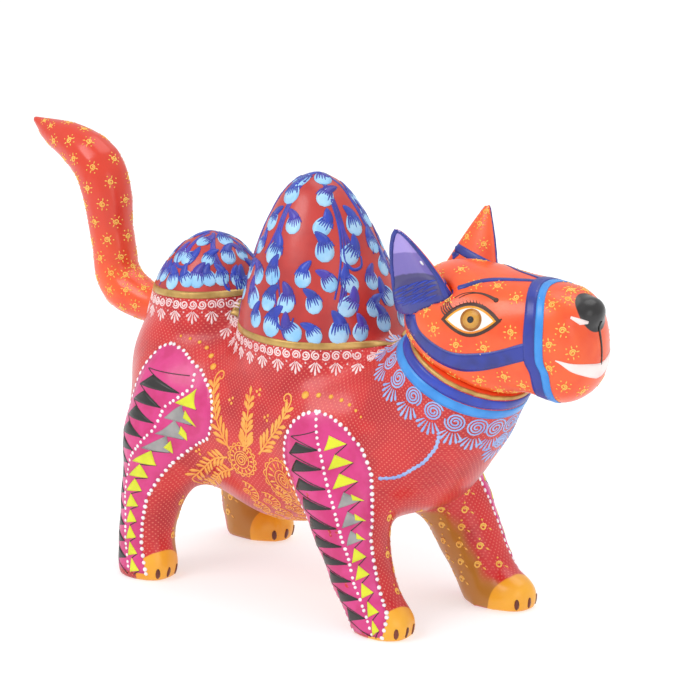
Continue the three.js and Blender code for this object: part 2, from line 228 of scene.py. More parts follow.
def buildBrushwork():
    # uneven paint film: broad patches, fine bristle streaks and a few specks of dust
    group, given, result = nodeGroup(
        "brushwork",
        [("Point", "NodeSocketVector", None), ("Patch Size", "NodeSocketFloat", 9.0),
         ("Bristle", "NodeSocketFloat", 1.0)],
        [("Patch", "NodeSocketFloat"), ("Height", "NodeSocketFloat"), ("Dust", "NodeSocketFloat")])
    inMm = wire(group, "ShaderNodeVectorMath", given.outputs["Point"], operation="SCALE")
    inMm.inputs["Scale"].default_value = 1000
    patchScale = sums(group, "DIVIDE", 1.0, given.outputs["Patch Size"])
    patch = wire(group, "ShaderNodeTexNoise", inMm.outputs[0])
    group.links.new(patchScale, patch.inputs["Scale"])
    patch.inputs["Detail"].default_value = 3
    stretched = wire(group, "ShaderNodeMapping", inMm.outputs[0])
    stretched.inputs["Scale"].default_value = (1.0, 1.0, 0.22)
    streaks = wire(group, "ShaderNodeTexNoise", stretched.outputs[0])
    streaks.inputs["Scale"].default_value = 2.4
    streaks.inputs["Detail"].default_value = 2
    specks = wire(group, "ShaderNodeTexNoise", inMm.outputs[0])
    specks.inputs["Scale"].default_value = 3.1
    group.links.new(patch.outputs[0], result.inputs["Patch"])
    height = sums(group, "MULTIPLY", streaks.outputs[0], given.outputs["Bristle"])
    group.links.new(height, result.inputs["Height"])
    group.links.new(between(group, specks.outputs[0], 0.72, 0.8), result.inputs["Dust"])
    return group


def buildStipple():
    # staggered rows of small dots, laid over the surface from its three sides
    group, given, result = nodeGroup(
        "stipple",
        [("Point", "NodeSocketVector", None), ("Facing", "NodeSocketVector", None),
         ("Pitch", "NodeSocketFloat", 1.35), ("Dot", "NodeSocketFloat", 0.25)],
        [("Mask", "NodeSocketFloat")])
    scale = sums(group, "DIVIDE", 1000.0, given.outputs["Pitch"])
    scaled = wire(group, "ShaderNodeVectorMath", given.outputs["Point"], operation="SCALE")
    group.links.new(scale, scaled.inputs["Scale"])
    axes = wire(group, "ShaderNodeSeparateXYZ", scaled.outputs[0])
    facing = wire(group, "ShaderNodeSeparateXYZ", given.outputs["Facing"])
    total, weights = None, []
    for axis, (a, b) in enumerate(((1, 2), (0, 2), (0, 1))):
        along = sums(group, "MULTIPLY", sums(group, "ADD", axes.outputs[a], axes.outputs[b]), 0.7071)
        across = sums(group, "MULTIPLY", sums(group, "SUBTRACT", axes.outputs[a], axes.outputs[b]), 0.7071)
        reach = [sums(group, "POWER", sums(group, "SUBTRACT", sums(group, "FRACT", side), 0.5), 2.0)
                 for side in (along, across)]
        far = sums(group, "SQRT", sums(group, "ADD", *reach))
        dot = sums(group, "SUBTRACT", 1.0, between(group, far,
                                                   sums(group, "MULTIPLY", given.outputs["Dot"], 0.7),
                                                   given.outputs["Dot"]))
        weight = sums(group, "POWER", sums(group, "ABSOLUTE", facing.outputs[axis]), 6.0)
        part = sums(group, "MULTIPLY", dot, weight)
        total = part if total is None else sums(group, "ADD", total, part)
        weights.append(weight)
    share = sums(group, "ADD", sums(group, "ADD", weights[0], weights[1]), weights[2])
    group.links.new(sums(group, "DIVIDE", total, share), result.inputs["Mask"])
    return group


def finish(name, roughness, metallic=0.0, coat=0.0):
    material = bpy.data.materials.new(name)
    material.use_nodes = True
    tree = material.node_tree
    shader = tree.nodes["Principled BSDF"]
    shader.inputs["Metallic"].default_value = metallic
    shader.inputs["Roughness"].default_value = roughness
    shader.inputs["Coat Weight"].default_value = coat
    shader.inputs["Coat Roughness"].default_value = 0.15
    return material, tree, shader


def placeBrushwork(tree, point, patchSize, bristle):
    node = tree.nodes.new("ShaderNodeGroup")
    node.node_tree = brushwork
    tree.links.new(point, node.inputs["Point"])
    node.inputs["Patch Size"].default_value = patchSize
    node.inputs["Bristle"].default_value = bristle
    return node


def finishSurface(tree, shader, colour, brush, roughness, bump, spread=0.12, extraHeight=None):
    tree.links.new(colour, shader.inputs["Base Color"])
    rough = sums(tree, "MULTIPLY_ADD", brush.outputs["Patch"], spread, roughness - spread / 2)
    rough = sums(tree, "MULTIPLY_ADD", brush.outputs["Dust"], 0.25, rough)
    tree.links.new(rough, shader.inputs["Roughness"])
    height = brush.outputs["Height"]
    if extraHeight is not None:
        height = sums(tree, "ADD", height, extraHeight)
    node = tree.nodes.new("ShaderNodeBump")
    node.inputs["Strength"].default_value = bump
    node.inputs["Distance"].default_value = 0.0001
    tree.links.new(height, node.inputs["Height"])
    tree.links.new(node.outputs[0], shader.inputs["Normal"])


def drifting(tree, brush, colour, deeper, full=0.7):
    # a paint colour that drifts towards a deeper one in patches
    share = between(tree, brush.outputs["Patch"], 0.35, full)
    return mixColour(tree, share, tint(colour), tint(deeper))


def plainFinish(name, colour, roughness, glow=0.0):
    material, tree, shader = finish(name, roughness)
    shader.inputs["Emission Color"].default_value = (1, 1, 1, 1)
    shader.inputs["Emission Strength"].default_value = glow
    brush = placeBrushwork(tree, objectPoint(tree), 60.0, 0.2)
    base = tint(colour)
    shade = mixColour(tree, brush.outputs["Patch"], base, [c * 0.985 for c in base[:3]] + [1])
    tree.links.new(shade, shader.inputs["Base Color"])
    return material


def paintFinish(name, colour, deeper, roughness=0.36, metallic=0.0, patchSize=7.0, bristle=1.0, bump=0.35):
    # one brushed colour that drifts towards a second one in patches
    material, tree, shader = finish(name, roughness, metallic, coat=0.12 if not metallic else 0.0)
    brush = placeBrushwork(tree, objectPoint(tree), patchSize, bristle)
    finishSurface(tree, shader, drifting(tree, brush, colour, deeper), brush, roughness, bump)
    return material


inks = {  # name: (colour, where the paint lies thick or thin, roughness, metallic)
    "gold": ("cfaa62", "a98346", 0.36, 0.4),
    "lace": ("fbe3e2", "f3c9cb", 0.45, 0),
    "white": ("ffffff", "f4f0f1", 0.4, 0),
    "magenta": ("d83a85", "c92b70", 0.36, 0),
    "black": ("262322", "191716", 0.38, 0),
    "lime": ("e4e62a", "d3d81f", 0.4, 0),
    "grey": ("a3a19f", "8b8a8a", 0.4, 0),
    "yellow": ("fcc04a", "f5ab38", 0.42, 0),
    "sun": ("fbc85a", "f6b74c", 0.42, 0),
    "fern": ("fcb452", "f79f3e", 0.42, 0),
    "navy": ("2c3a9c", "27307f", 0.34, 0),
    "violet": ("4a3db0", "3a3397", 0.36, 0),
    "ultramarine": ("2b44b8", "2c3a9c", 0.36, 0),
    "sky": ("a9d6f4", "86c1ec", 0.42, 0),
    "brightBlue": ("3d97e6", "3087da", 0.36, 0),
    "periwinkle": ("a3bff0", "8fabe6", 0.42, 0),
    "claw": ("7a3218", "5e2410", 0.35, 0),
    "umber": ("4b2a20", "38201a", 0.4, 0),
    "sclera": ("fdf8ee", "f6eee2", 0.25, 0),
    "liner": ("f7a825", "f08a1d", 0.36, 0),
    "iris": ("b8741f", "96560f", 0.25, 0),
    "irisLight": ("d79a3a", "c98a2c", 0.25, 0),
    "smile": ("fdeae6", "f9dcd8", 0.35, 0),
}


# ground colours of the carved pieces
bodyPaint = {
    "red": "d0292a", "redDeep": "b51c24", "dots": "ee8470", "dotPitch": 1.22,
    "innerLeg": "b87a2a", "paw": "f6b02c", "pawDeep": "eea01e",
    "innerTop": 52, "innerFull": 36,  # the inner legs fade in below these heights
    "innerFacing": (0.52, 0.84), "soft": 0.15,
    "paws": {"right_front": (70, -27, 2, 9.6), "right_rear": (-39.5, -32.5, 3.5, 8.7),
             "left_front": (78.5, 27, 2, 10), "left_rear": (-40.5, 30, 3.5, 9.3)},
}
humpPaint = {"rust": "c43a33", "rustDeep": "ad2b2a"}
neckJoint = {"centre": (82.5, 1, 98), "axis": (0.4226, 0,
                                               0.9063)}  # the flat glue face between neck and head
orangePaint = {
    "orange": "f3602a", "orangeDeep": "ea4c20", "nose": "222021",
    "tailTip": "d83a22", "tipStarts": 88, "tipFull": 125,  # the heights between which the tail reddens
}


def innerLegMask(tree, point, facing):
    # the sides of the legs that face each other, fading out towards the belly
    place = wire(tree, "ShaderNodeSeparateXYZ", point)
    normal = wire(tree, "ShaderNodeSeparateXYZ", facing)
    side = sums(tree, "SIGN", place.outputs[1])
    inward = sums(tree, "MULTIPLY", sums(tree, "MULTIPLY", side, normal.outputs[1]), -1.0)
    behind = sums(tree, "MULTIPLY", sums(tree, "SIGN", place.outputs[0]), -0.4)
    inward = sums(tree, "MULTIPLY_ADD", normal.outputs[0], behind, inward)
    low = sums(tree, "SUBTRACT", 1.0, between(tree, place.outputs[2], bodyPaint["innerFull"] * mm,
                                              bodyPaint["innerTop"] * mm))
    return sums(tree, "MULTIPLY", between(tree, inward, *bodyPaint["innerFacing"]), low)


def pawMask(tree, point):
    nearest = None
    for x, y, z, radius in bodyPaint["paws"].values():
        gap = wire(tree, "ShaderNodeVectorMath", point, (x * mm, y * mm, z * mm), operation="DISTANCE")
        depth = sums(tree, "SUBTRACT", gap.outputs["Value"], radius * mm)
        nearest = depth if nearest is None else sums(tree, "MINIMUM", nearest, depth)
    return sums(tree, "SUBTRACT", 1.0, between(tree, nearest, -bodyPaint["soft"] * mm,
                                               bodyPaint["soft"] * mm))


def redGround(tree, point):
    # red ground with its rows of pale dots: colour and dot height
    facing = tree.nodes.new("ShaderNodeTexCoord").outputs["Normal"]
    brush = placeBrushwork(tree, point, 16.0, 0.6)
    red = drifting(tree, brush, bodyPaint["red"], bodyPaint["redDeep"], 0.68)
    dots = tree.nodes.new("ShaderNodeGroup")
    dots.node_tree = stipple
    tree.links.new(point, dots.inputs["Point"])
    tree.links.new(facing, dots.inputs["Facing"])
    dots.inputs["Pitch"].default_value = bodyPaint["dotPitch"]
    return mixColour(tree, sums(tree, "MULTIPLY", dots.outputs[0], 0.55), red,
                     tint(bodyPaint["dots"])), dots, brush, facing


def redBodyFinish():
    material, tree, shader = finish("redBody", 0.36, coat=0.14)
    point = objectPoint(tree)
    red, dots, brush, facing = redGround(tree, point)
    inner = innerLegMask(tree, point, facing)
    legged = mixColour(tree, inner, red, tint(bodyPaint["innerLeg"]))
    pawDrift = between(tree, brush.outputs["Patch"], 0.4, 0.65)
    paw = mixColour(tree, pawDrift, tint(bodyPaint["paw"]), tint(bodyPaint["pawDeep"]))
    onPaw = pawMask(tree, point)
    colour = mixColour(tree, onPaw, legged, paw)
    # the edge of the neck that shows under the head is painted like the head
    centre = wire(tree, "ShaderNodeVectorMath", point, [c * mm for c in neckJoint["centre"]],
                  operation="SUBTRACT")
    above = wire(tree, "ShaderNodeVectorMath", centre.outputs[0], neckJoint["axis"],
                 operation="DOT_PRODUCT")
    ledge = between(tree, above.outputs["Value"], -0.0006, -0.0003)
    colour = mixColour(tree, ledge, colour, tint(orangePaint["orangeDeep"]))
    covered = sums(tree, "MAXIMUM", sums(tree, "MAXIMUM", inner, onPaw), ledge)
    bare = sums(tree, "SUBTRACT", 1.0, covered)
    raised = sums(tree, "MULTIPLY", dots.outputs[0], bare)
    finishSurface(tree, shader, colour, brush, 0.34, 0.4, extraHeight=raised)
    return material


def humpFinish(name, hump):
    # rusty red above the gold band's line, the body's dotted red under it
    material, tree, shader = finish(name, 0.36, coat=0.14)
    point = objectPoint(tree)
    red, dots, brush, _ = redGround(tree, point)
    place = wire(tree, "ShaderNodeSeparateXYZ", point)
    ahead = sums(tree, "SUBTRACT", place.outputs[0], hump["centre"][0] * mm)
    line = sums(tree, "MULTIPLY_ADD", ahead, hump["bandSlope"], hump["band"] * mm)
    above = between(tree, sums(tree, "SUBTRACT", place.outputs[2], line), -0.0002, 0.0002)
    rust = drifting(tree, brush, humpPaint["rust"], humpPaint["rustDeep"], 0.68)
    raised = sums(tree, "MULTIPLY", dots.outputs[0], sums(tree, "SUBTRACT", 1.0, above))
    finishSurface(tree, shader, mixColour(tree, above, red, rust), brush, 0.34, 0.4, extraHeight=raised)
    return material


def orangeFinish(name, noseAt=None, tailFade=False):
    material, tree, shader = finish(name, 0.32, coat=0.18)
    point = objectPoint(tree)
    brush = placeBrushwork(tree, point, 12.0, 0.6)
    colour = drifting(tree, brush, orangePaint["orange"], orangePaint["orangeDeep"])
    if tailFade:
        height = wire(tree, "ShaderNodeSeparateXYZ", point).outputs[2]
        redder = between(tree, height, orangePaint["tipStarts"] * mm, orangePaint["tipFull"] * mm)
        colour = mixColour(tree, redder, colour, tint(orangePaint["tailTip"]))
    if noseAt is not None:
        gap = wire(tree, "ShaderNodeVectorMath", point, [c * mm for c in noseAt], operation="DISTANCE")
        edge = [(face["noseRadius"] + side * bodyPaint["soft"]) * mm for side in (-1, 1)]
        near = sums(tree, "SUBTRACT", 1.0, between(tree, gap.outputs["Value"], *edge))
        colour = mixColour(tree, near, colour, tint(orangePaint["nose"]))
    finishSurface(tree, shader, colour, brush, 0.3, 0.35)
    return material


# how fine each piece is remeshed, how long it is sanded, and where the body is cut into pieces
carving = {
    "body": {"voxel": 1.15, "rounds": 26, "swell": 0.25, "regain": 0.25},
    "head": {"voxel": 0.85, "rounds": 20, "swell": 0.1, "regain": 0.2},
    "ear": {"voxel": 0.4, "rounds": 9, "swell": 0.12, "regain": 0.1},
    "tail": {"voxel": 0.75, "rounds": 20, "swell": 0, "regain": 0.25},
    "bodyParts": ["torso", "right_front_leg", "right_rear_leg", "left_front_leg", "left_rear_leg",
                  "large_hump", "small_hump"],
    "dowels": [name for name in nodes if name.endswith("dowel")],
    "legFace": {1: 16.0, -1: -14.0},  # y of each leg's glued face
    "hoof": (4, 22), "outerFace": 60,
    "legs": {  # haunch circle (x, z, radius) and the hoof circle's x
        "right_front_leg": ((36.5, 57, 20), 65.75, -1), "right_rear_leg": ((-41.5, 57, 25), -43.75, -1),
        "left_front_leg": ((36.5, 57, 20), 73.75, 1), "left_rear_leg": ((-42.5, 57, 25), -45.5, 1),
    },
    "humps": {"large_hump": ((-23, 46), 96.85), "small_hump": ((-69.5, -23), 96.85)},
}


def legCutter(name):
    (x, z, radius), hoofX, side = carving["legs"][name]
    hoofZ, hoofRadius = carving["hoof"]
    bm = bmesh.new()
    for cx, cz, r in ((x, z, radius), (hoofX, hoofZ, hoofRadius)):
        for y in (carving["legFace"][side], side * carving["outerFace"]):
            turn = Matrix.Translation(Vector((cx, y, cz)) * mm) @ Matrix.Rotation(math.pi / 2, 4, "X")
            bmesh.ops.create_circle(bm, segments=48, radius=r * mm, matrix=turn)
    hull = bmesh.ops.convex_hull(bm, input=bm.verts)
    bmesh.ops.delete(bm, geom=[v for v in hull["geom_interior"] if isinstance(v, bmesh.types.BMVert)],
                     context="VERTS")
    bmesh.ops.recalc_face_normals(bm, faces=bm.faces)
    return meshObject(name + "_cutter", bm)


def humpCutter(name):
    (low, high), seat = carving["humps"][name]
    bm = bmesh.new()
    size = Matrix.Diagonal(((high - low) * mm, 0.12, 0.1, 1))
    bmesh.ops.create_cube(bm, size=1, matrix=Matrix.Translation(((low + high) / 2 * mm, 0,
                                                                 seat * mm + 0.05)) @ size)
    return meshObject(name + "_cutter", bm)


def takeOut(whole, name, cutter):
    # the part of the whole inside the cutter becomes a piece; the whole loses it
    piece = put(bpy.data.objects.new(name, whole.data.copy()))
    for obj, operation in ((piece, "INTERSECT"), (whole, "DIFFERENCE")):
        modifier(obj, "BOOLEAN", object=cutter, operation=operation, solver="MANIFOLD")
        applied(obj)
    bpy.data.objects.remove(cutter)
    return piece


def flattenSoles(obj):
    bm = bmesh.new()
    bm.from_mesh(obj.data)
    cut = bmesh.ops.bisect_plane(bm, geom=bm.verts[:] + bm.edges[:] + bm.faces[:], plane_co=(0, 0, 0),
                                 plane_no=(0, 0, 1), clear_inner=True)
    rim = [e for e in cut["geom_cut"] if isinstance(e, bmesh.types.BMEdge)]
    bmesh.ops.holes_fill(bm, edges=rim)
    bmesh.ops.triangulate(bm, faces=[f for f in bm.faces if len(f.verts) > 4])
    bm.to_mesh(obj.data)
    bm.free()


def skinOf(obj):
    bm = bmesh.new()
    bm.from_mesh(obj.data)
    tree = BVHTree.FromBMesh(bm)
    bm.free()
    return tree


def carvePieces():
    pieces, skins = {}, {}
    parts = [name for name in carving["bodyParts"] + carving["dowels"] if not name.startswith("neck")]
    body = carvedForm("carved_torso", parts, **carving["body"])
    flattenSoles(body)
    skins["body"] = skinOf(body)
    for name in carving["legs"]:
        pieces[name] = takeOut(body, "carved_" + name, legCutter(name))
    for name in carving["humps"]:
        pieces[name] = takeOut(body, "carved_" + name, humpCutter(name))
    pieces["torso"] = body
    for name, kind in (("head", "head"), ("right_ear", "ear"), ("left_ear", "ear"), ("tail", "tail")):
        pieces[name] = carvedForm("carved_" + name, [name], **carving[kind])
        skins[name] = skinOf(pieces[name])
    for name, piece in pieces.items():
        shadeCarved(piece)
        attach(piece, name if name in ("right_ear", "left_ear", "tail") else "figure")
        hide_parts(name)
        print("carved", name, len(piece.data.polygons), "faces")
    return pieces, skins


# A map turns (u, v) in millimetres into a ray towards the surface: sideways, round an axis, or on a
# tangent plane.

def sideMap(side):
    return lambda u, v: (Vector((u, side * 75, v)), Vector((0, -side, 0)))


def frontMap(turned):
    return lambda u, v: turned(Vector((170, u, v)), Vector((-1, 0, 0)))


def ringMap(centre, axis, forward, radius, reach):
    # u runs round the axis from the forward direction, v along the axis
    axis = Vector(axis).normalized()
    ahead = (Vector(forward) - axis * axis.dot(Vector(forward))).normalized()
    sideways = axis.cross(ahead)

    def place(u, v):
        out = ahead * math.cos(u / radius) + sideways * math.sin(u / radius)
        return Vector(centre) + axis * v + out * reach, -out
    return place


def pointMap(centre, out, reach):
    # every ray comes from the same spot outside the surface, towards the centre
    return lambda u, v: (centre + out * reach, -out)


class Canvas:
    # one body part's surface, and the sheets of paint on it
    def __init__(self, part, skin, body, slotName):
        self.part, self.skin, self.body, self.slotName = part, skin, body, slotName
        self.sheets = {}

    def hit(self, place, u, v):
        start, direction = place(u, v)
        spot, normal, _, _ = self.skin.ray_cast(start * mm, direction, 0.2)
        if spot is None or normal.dot(direction) > 0:
            spot, normal, _, _ = self.skin.find_nearest(start * mm)
        return spot, normal

    def ink(self, paint):
        if paint not in self.sheets:
            self.sheets[paint] = bmesh.new()
        return self.sheets[paint]

    def stroke(self, paint, place, path, width, columns=2, lift=0.12, crown=0.1, closed=False):
        # a brush stroke along a path of (u, v); width is one number or one per point
        bm = self.ink(paint)
        rows = len(path)
        widths = width if isinstance(width, (list, tuple)) else [width] * rows
        hits = [self.hit(place, *point) for point in path]
        made = bmesh.ops.create_grid(bm, x_segments=columns, y_segments=rows - 1, size=1)["verts"]
        for vert in made:
            j, i = round((vert.co.x + 1) / 2 * columns), round((vert.co.y + 1) / 2 * (rows - 1))
            before, after = max(0, i - 1), min(rows - 1, i + 1)
            if closed and i in (0, rows - 1):
                before, after = rows - 2, 1
            spot, normal = hits[i]
            across = (hits[after][0] - hits[before][0]).cross(normal).normalized()
            spot = spot + across * (j / columns - 0.5) * widths[i] * mm
            if columns > 1:
                spot, normal, _, _ = self.skin.find_nearest(spot)
            rise = lift + crown * (1 - (2 * j / columns - 1) ** 2)
            vert.co = spot + normal * rise * mm
        if closed:
            bmesh.ops.remove_doubles(bm, verts=made, dist=0.01 * mm)

    def blob(self, paint, place, u, v, radius, stretch=1.0, lift=0.08, crown=0.18, sides=8):
        # a round dab, or an oval one that is stretched up and down
        bm = self.ink(paint)
        spot, normal = self.hit(place, u, v)
        right = Vector((0, 0, 1)).cross(normal)
        right = right.normalized() if right.length > 0.05 else Vector((1, 0, 0))
        up = normal.cross(right)
        made = bmesh.ops.create_circle(bm, cap_ends=True, cap_tris=True, segments=sides, radius=1)["verts"]
        for vert in made:
            reach = vert.co.length
            edge, facing, _, _ = self.skin.find_nearest(
                spot + (right * vert.co.x + up * vert.co.y * stretch) * radius * mm)
            vert.co = edge + facing * (lift + crown * (1 - reach ** 2)) * mm

    def near(self, place, u, v, up=(0, 0, 1), spin=0.0):
        # a flat map laid on the surface at (u, v), for a motif that keeps its shape
        spot, normal = self.hit(place, u, v)
        upward = Vector(up) - normal * normal.dot(Vector(up))
        if upward.length < 0.05:
            upward = Vector((1, 0, 0)) - normal * normal.x
        upward = (Matrix.Rotation(spin, 3, normal) @ upward.normalized())
        right = upward.cross(normal)
        centre = spot / mm
        return lambda a, b: (centre + right * a + upward * b + normal * 4, -normal)

    def finishSheets(self, thickness=0.22):
        for paint, bm in self.sheets.items():
            for face in bm.faces:
                face.normal_update()
                _, normal, _, _ = self.skin.find_nearest(face.calc_center_median())
                if face.normal.dot(normal) < 0:
                    face.normal_flip()
                face.smooth = True
            obj = meshObject(self.part + "_" + paint, bm)
            modifier(obj, "SOLIDIFY", thickness=thickness * mm, offset=-1)
            obj.data.materials.append(paints[paint])
            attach(obj, self.body)
            print("painted", obj.name, len(obj.data.polygons), "faces")


def bent(points, count):
    # a smooth curve through a few points
    curve = []
    last = len(points) - 1
    for k in range(count):
        t = k / (count - 1) * last
        i = min(int(t), last - 1)
        f = t - i
        p0, p1, p2, p3 = (points[max(0, i - 1)], points[i], points[i + 1], points[min(last, i + 2)])
        curve.append(tuple(
            0.5 * (2 * b + (c - a) * f + (2 * a - 5 * b + 4 * c - d) * f * f + (3 * b - a - 3 * c + d) * f ** 3)
            for a, b, c, d in zip(p0, p1, p2, p3)))
    return curve


def onRing(u, v, radius, angle):
    return u + radius * math.cos(angle), v + radius * math.sin(angle)


def spiralPath(u, v, outer, turns, start=0.0, inner=0.25, count=None):
    count = count or int(turns * 12)
    path = []
    for k in range(count):
        t = k / (count - 1)
        path.append(onRing(u, v, outer * (1 - t) + inner * t, start + t * turns * 2 * math.pi))
    return path


def swell(count, width, thinEnd=0.15, fullAt=0.7):
    # widths of a stroke that starts thin and swells to a rounded end
    widths = []
    for k in range(count):
        t = k / (count - 1)
        if t < fullAt:
            w = thinEnd + (1 - thinEnd) * math.sin(t / fullAt * math.pi / 2) ** 1.5
        else:
            w = math.sqrt(max(0.03, 1 - ((t - fullAt) / (1 - fullAt)) ** 2))
        widths.append(width * w)
    return widths


def teardrop(canvas, paint, place, u, v, angle, length, width, bend=0.0, count=5, **how):
    # thin at (u, v), round at the far end
    along = (math.cos(angle), math.sin(angle))
    path = []
    for k in range(count):
        t = k / (count - 1)
        side = bend * math.sin(t * math.pi / 2) * length
        path.append((u + along[0] * t * length - along[1] * side,
                     v + along[1] * t * length + along[0] * side))
    canvas.stroke(paint, place, path, swell(count, width), **how)


def sunMotif(canvas, paint, place, u, v, size, up=(0, 0, 1)):
    # a spiral ring with short rays and dots between them
    flat = canvas.near(place, u, v, up, dice.uniform(0, 6.28))
    canvas.stroke(paint, flat, spiralPath(0, 0, size * 0.42, 1.6, inner=size * 0.1, count=15), size * 0.15,
                  columns=1)
    rays = 8
    for k in range(rays):
        a = k / rays * 2 * math.pi
        if k % 2:
            canvas.blob(paint, flat, *onRing(0, 0, size * 0.86, a), size * 0.11,
                        sides=6)
        else:
            teardrop(canvas, paint, flat, *onRing(0, 0, size * 0.45, a), a,
                     size * 0.42,
                     size * 0.2, count=3, columns=1)


# the map round each hump, its gold band and its petals
humpMaps = {
    "large_hump": {"centre": (11.5, 1, 0), "reach": 37, "radius": 30.5, "seat": 96.9, "top": 152,
                   "lean": 3.5, "band": 96.9, "bandSlope": 0.0,
                   "stems": 6, "petal": 8.6, "firstRow": 0.11},
    "small_hump": {"centre": (-43.5, 1, 0), "reach": 25.5, "radius": 22, "seat": 97.5, "top": 121.5,
                   "lean": -1, "band": 102.2, "bandSlope": 0.06,
                   "stems": 5, "petal": 7.2, "firstRow": 0.24},
}


def bandHeight(hump, x):
    return hump["band"] + hump["bandSlope"] * (x - hump["centre"][0])


def domeMap(hump):
    # u is the angle in degrees from straight ahead, v runs from 0 at the foot to 1 at the top
    cx, cy, _ = hump["centre"]

    def place(u, v):
        rise = hump["top"] - hump["seat"]
        x = cx - hump["lean"] * v
        level = bandHeight(hump, cx + hump["radius"] * math.cos(math.radians(u)))
        z = level * (1 - v) + v * (hump["seat"] + rise * 0.72)
        tip = math.radians(88) * max(v, 0) ** 1.7
        turn = math.radians(u)
        out = Vector((math.cos(turn) * math.cos(tip), math.sin(turn) * math.cos(tip), math.sin(tip)))
        return Vector((x, cy, z)) + out * (hump["reach"] + 8 * v), -out
    return place


def combPetal(canvas, place, u, v, size, spin):
    # a hanging egg of pale blue; its dark root trails up to a stem and combs down over it in bristle marks
    flat = canvas.near(place, u, v, (0, 0, 1), spin)
    tail = dice.choice((-1, 1))
    rows = 8
    path = [(0.02 * tail * size * k, size * (0.42 - 0.92 * k / (rows - 1))) for k in range(rows)]
    canvas.stroke("sky", flat, path, [size * w for w in (0.3, 0.58, 0.7, 0.78, 0.8, 0.76, 0.6, 0.25)],
                  columns=4,
                  crown=0.05)
    root = bent([(tail * 0.3 * size, 0.82 * size), (tail * 0.16 * size, 0.62 * size),
                 (tail * 0.04 * size, 0.42 * size),
                 (0, 0.2 * size)], 8)
    paint = dice.choice(("ultramarine", "ultramarine", "violet"))
    canvas.stroke(paint, flat, root, [size * w for w in (0.05, 0.2, 0.3, 0.37, 0.43, 0.5, 0.54, 0.4)],
                  lift=0.17, crown=0.04)
    for k in range(7):
        x = (k - 3) * 0.085 * size
        tip = size * dice.uniform(-0.22, 0.1)
        canvas.stroke(paint, flat, [(x, 0.3 * size), (x * 1.2, 0.14 * size),
                                    (x * 1.35, (tip + 0.14 * size) / 2),
                                    (x * 1.45, tip)],
                      [size * 0.085, size * 0.075, size * 0.06, size * 0.02], columns=1, lift=0.19,
                      crown=0.03)


def paintHump(canvas, hump):
    place = domeMap(hump)
    for k in range(hump["stems"]):
        # a stem that snakes down from the crown, with a side shoot that curls up at its end
        base = 360 * (k + 0.5) / hump["stems"]
        sway = 1 if k % 2 else -1
        stem = [(base + sway * 9 * math.sin(t * 4.6), 0.95 - t * 0.86) for t in [i / 23 for i in range(24)]]
        for strand, paint in ((-1, "ultramarine"), (0, "violet"), (1, "violet")):
            path = [(u + strand * (1.6 + 3.4 * i / 23), v) for i,
                    (u, v) in enumerate(stem)][:24 - 5 * abs(strand)]
            canvas.stroke(paint, place, path, [1.25 - 0.8 * i / 23 for i in range(len(path))], lift=0.1,
                          crown=0.04)
        for start in (6, 12):
            shoot = [(stem[start][0] + sway * 11 * (i / 9) ** 1.4, stem[start][1] - 0.26 * (i / 9) ** 0.8)
                     for i in range(10)]
            canvas.stroke("violet", place, shoot, [0.5 + 0.7 * math.sin(i / 9 * 3) for i in range(10)],
                          lift=0.08)
            sway = -sway
        hook = canvas.near(place, base + 14, 0.16 + 0.3 * (k % 2))
        canvas.stroke("ultramarine", hook, bent([(-2.6, 6), (-3.4, 0.5), (-1.2, -3.2), (2.4, -2.6),
                                                 (3.4, 1)], 16),
                      [0.4 + 0.8 * math.sin(i / 15 * 3.0) for i in range(16)])
    size, level, row = hump["petal"], hump["firstRow"], 0
    height = hump["top"] - hump["seat"]
    while level < 0.97:
        spot, _ = canvas.hit(place, 0, level)
        radius = max(2.0, math.hypot(spot.x / mm - hump["centre"][0], spot.y / mm - hump["centre"][1]))
        count = max(3, int(2 * math.pi * radius / (size * 1.04)))
        for k in range(count):
            u = 360 * (k + 0.5 * (row % 2)) / count + dice.uniform(-5, 5)
            clear = bandHeight(hump, spot.x / mm) + size * 0.62
            low = level < 0.3 and canvas.hit(place, u, level)[0].z / mm < clear
            if low and row or dice.random() < 0.06:
                continue
            combPetal(canvas, place, u, level + dice.uniform(-0.025, 0.025),
                      size * dice.uniform(0.82, 1.08),
                      dice.uniform(-0.7, 0.7))
        level += size / (height * 1.18)
        row += 1


def ringPath(hump, drop, count=97):
    # (u, v) round the hump at a height under its gold band
    points = []
    for k in range(count):
        a = 2 * math.pi * k / (count - 1)
        x = hump["centre"][0] + hump["radius"] * math.cos(a)
        points.append((a * hump["radius"], bandHeight(hump, x) - drop))
    return points


def paintHumpBase(canvas, hump):
    place = ringMap(hump["centre"], (0, 0, 1), (1, 0, 0), hump["radius"], hump["reach"])
    canvas.stroke("gold", place, ringPath(hump, 0.0), 2.5, columns=3, lift=0.14, crown=0.12, closed=True)
    around = 2 * math.pi * hump["radius"]
    count = int(around / 3.5)
    for k in range(count):
        u = around * k / count
        x = hump["centre"][0] + hump["radius"] * math.cos(u / hump["radius"])
        level = bandHeight(hump, x)
        flat = canvas.near(place, u, level - 3.3)
        canvas.stroke("lace", flat, spiralPath(0, 0, 1.65, 1.7, start=dice.uniform(0, 6), inner=0.35,
                                               count=18), 0.5,
                      columns=1, lift=0.1)
        canvas.blob("lace", flat, 1.75, 1.7, 0.3, sides=5)
        if k % 2 == 0:
            fan = canvas.near(place, u, level - 5.4)
            for i in range(5):
                lean = (i - 2) * 0.4
                length = 4.9 - abs(i - 2) * 0.8
                path = [(length * t * math.sin(lean), -length * t * math.cos(lean)) for t in (0.12, 0.4,
                                                                                              0.62, 0.85,
                                                                                              1)]
                canvas.stroke("lace", fan, path, [0.2, 0.28, 0.55, 0.85, 0.35], columns=1)
        else:
            canvas.blob("lace", canvas.near(place, u, level - 6.0), 0, 0, 0.4, sides=5)


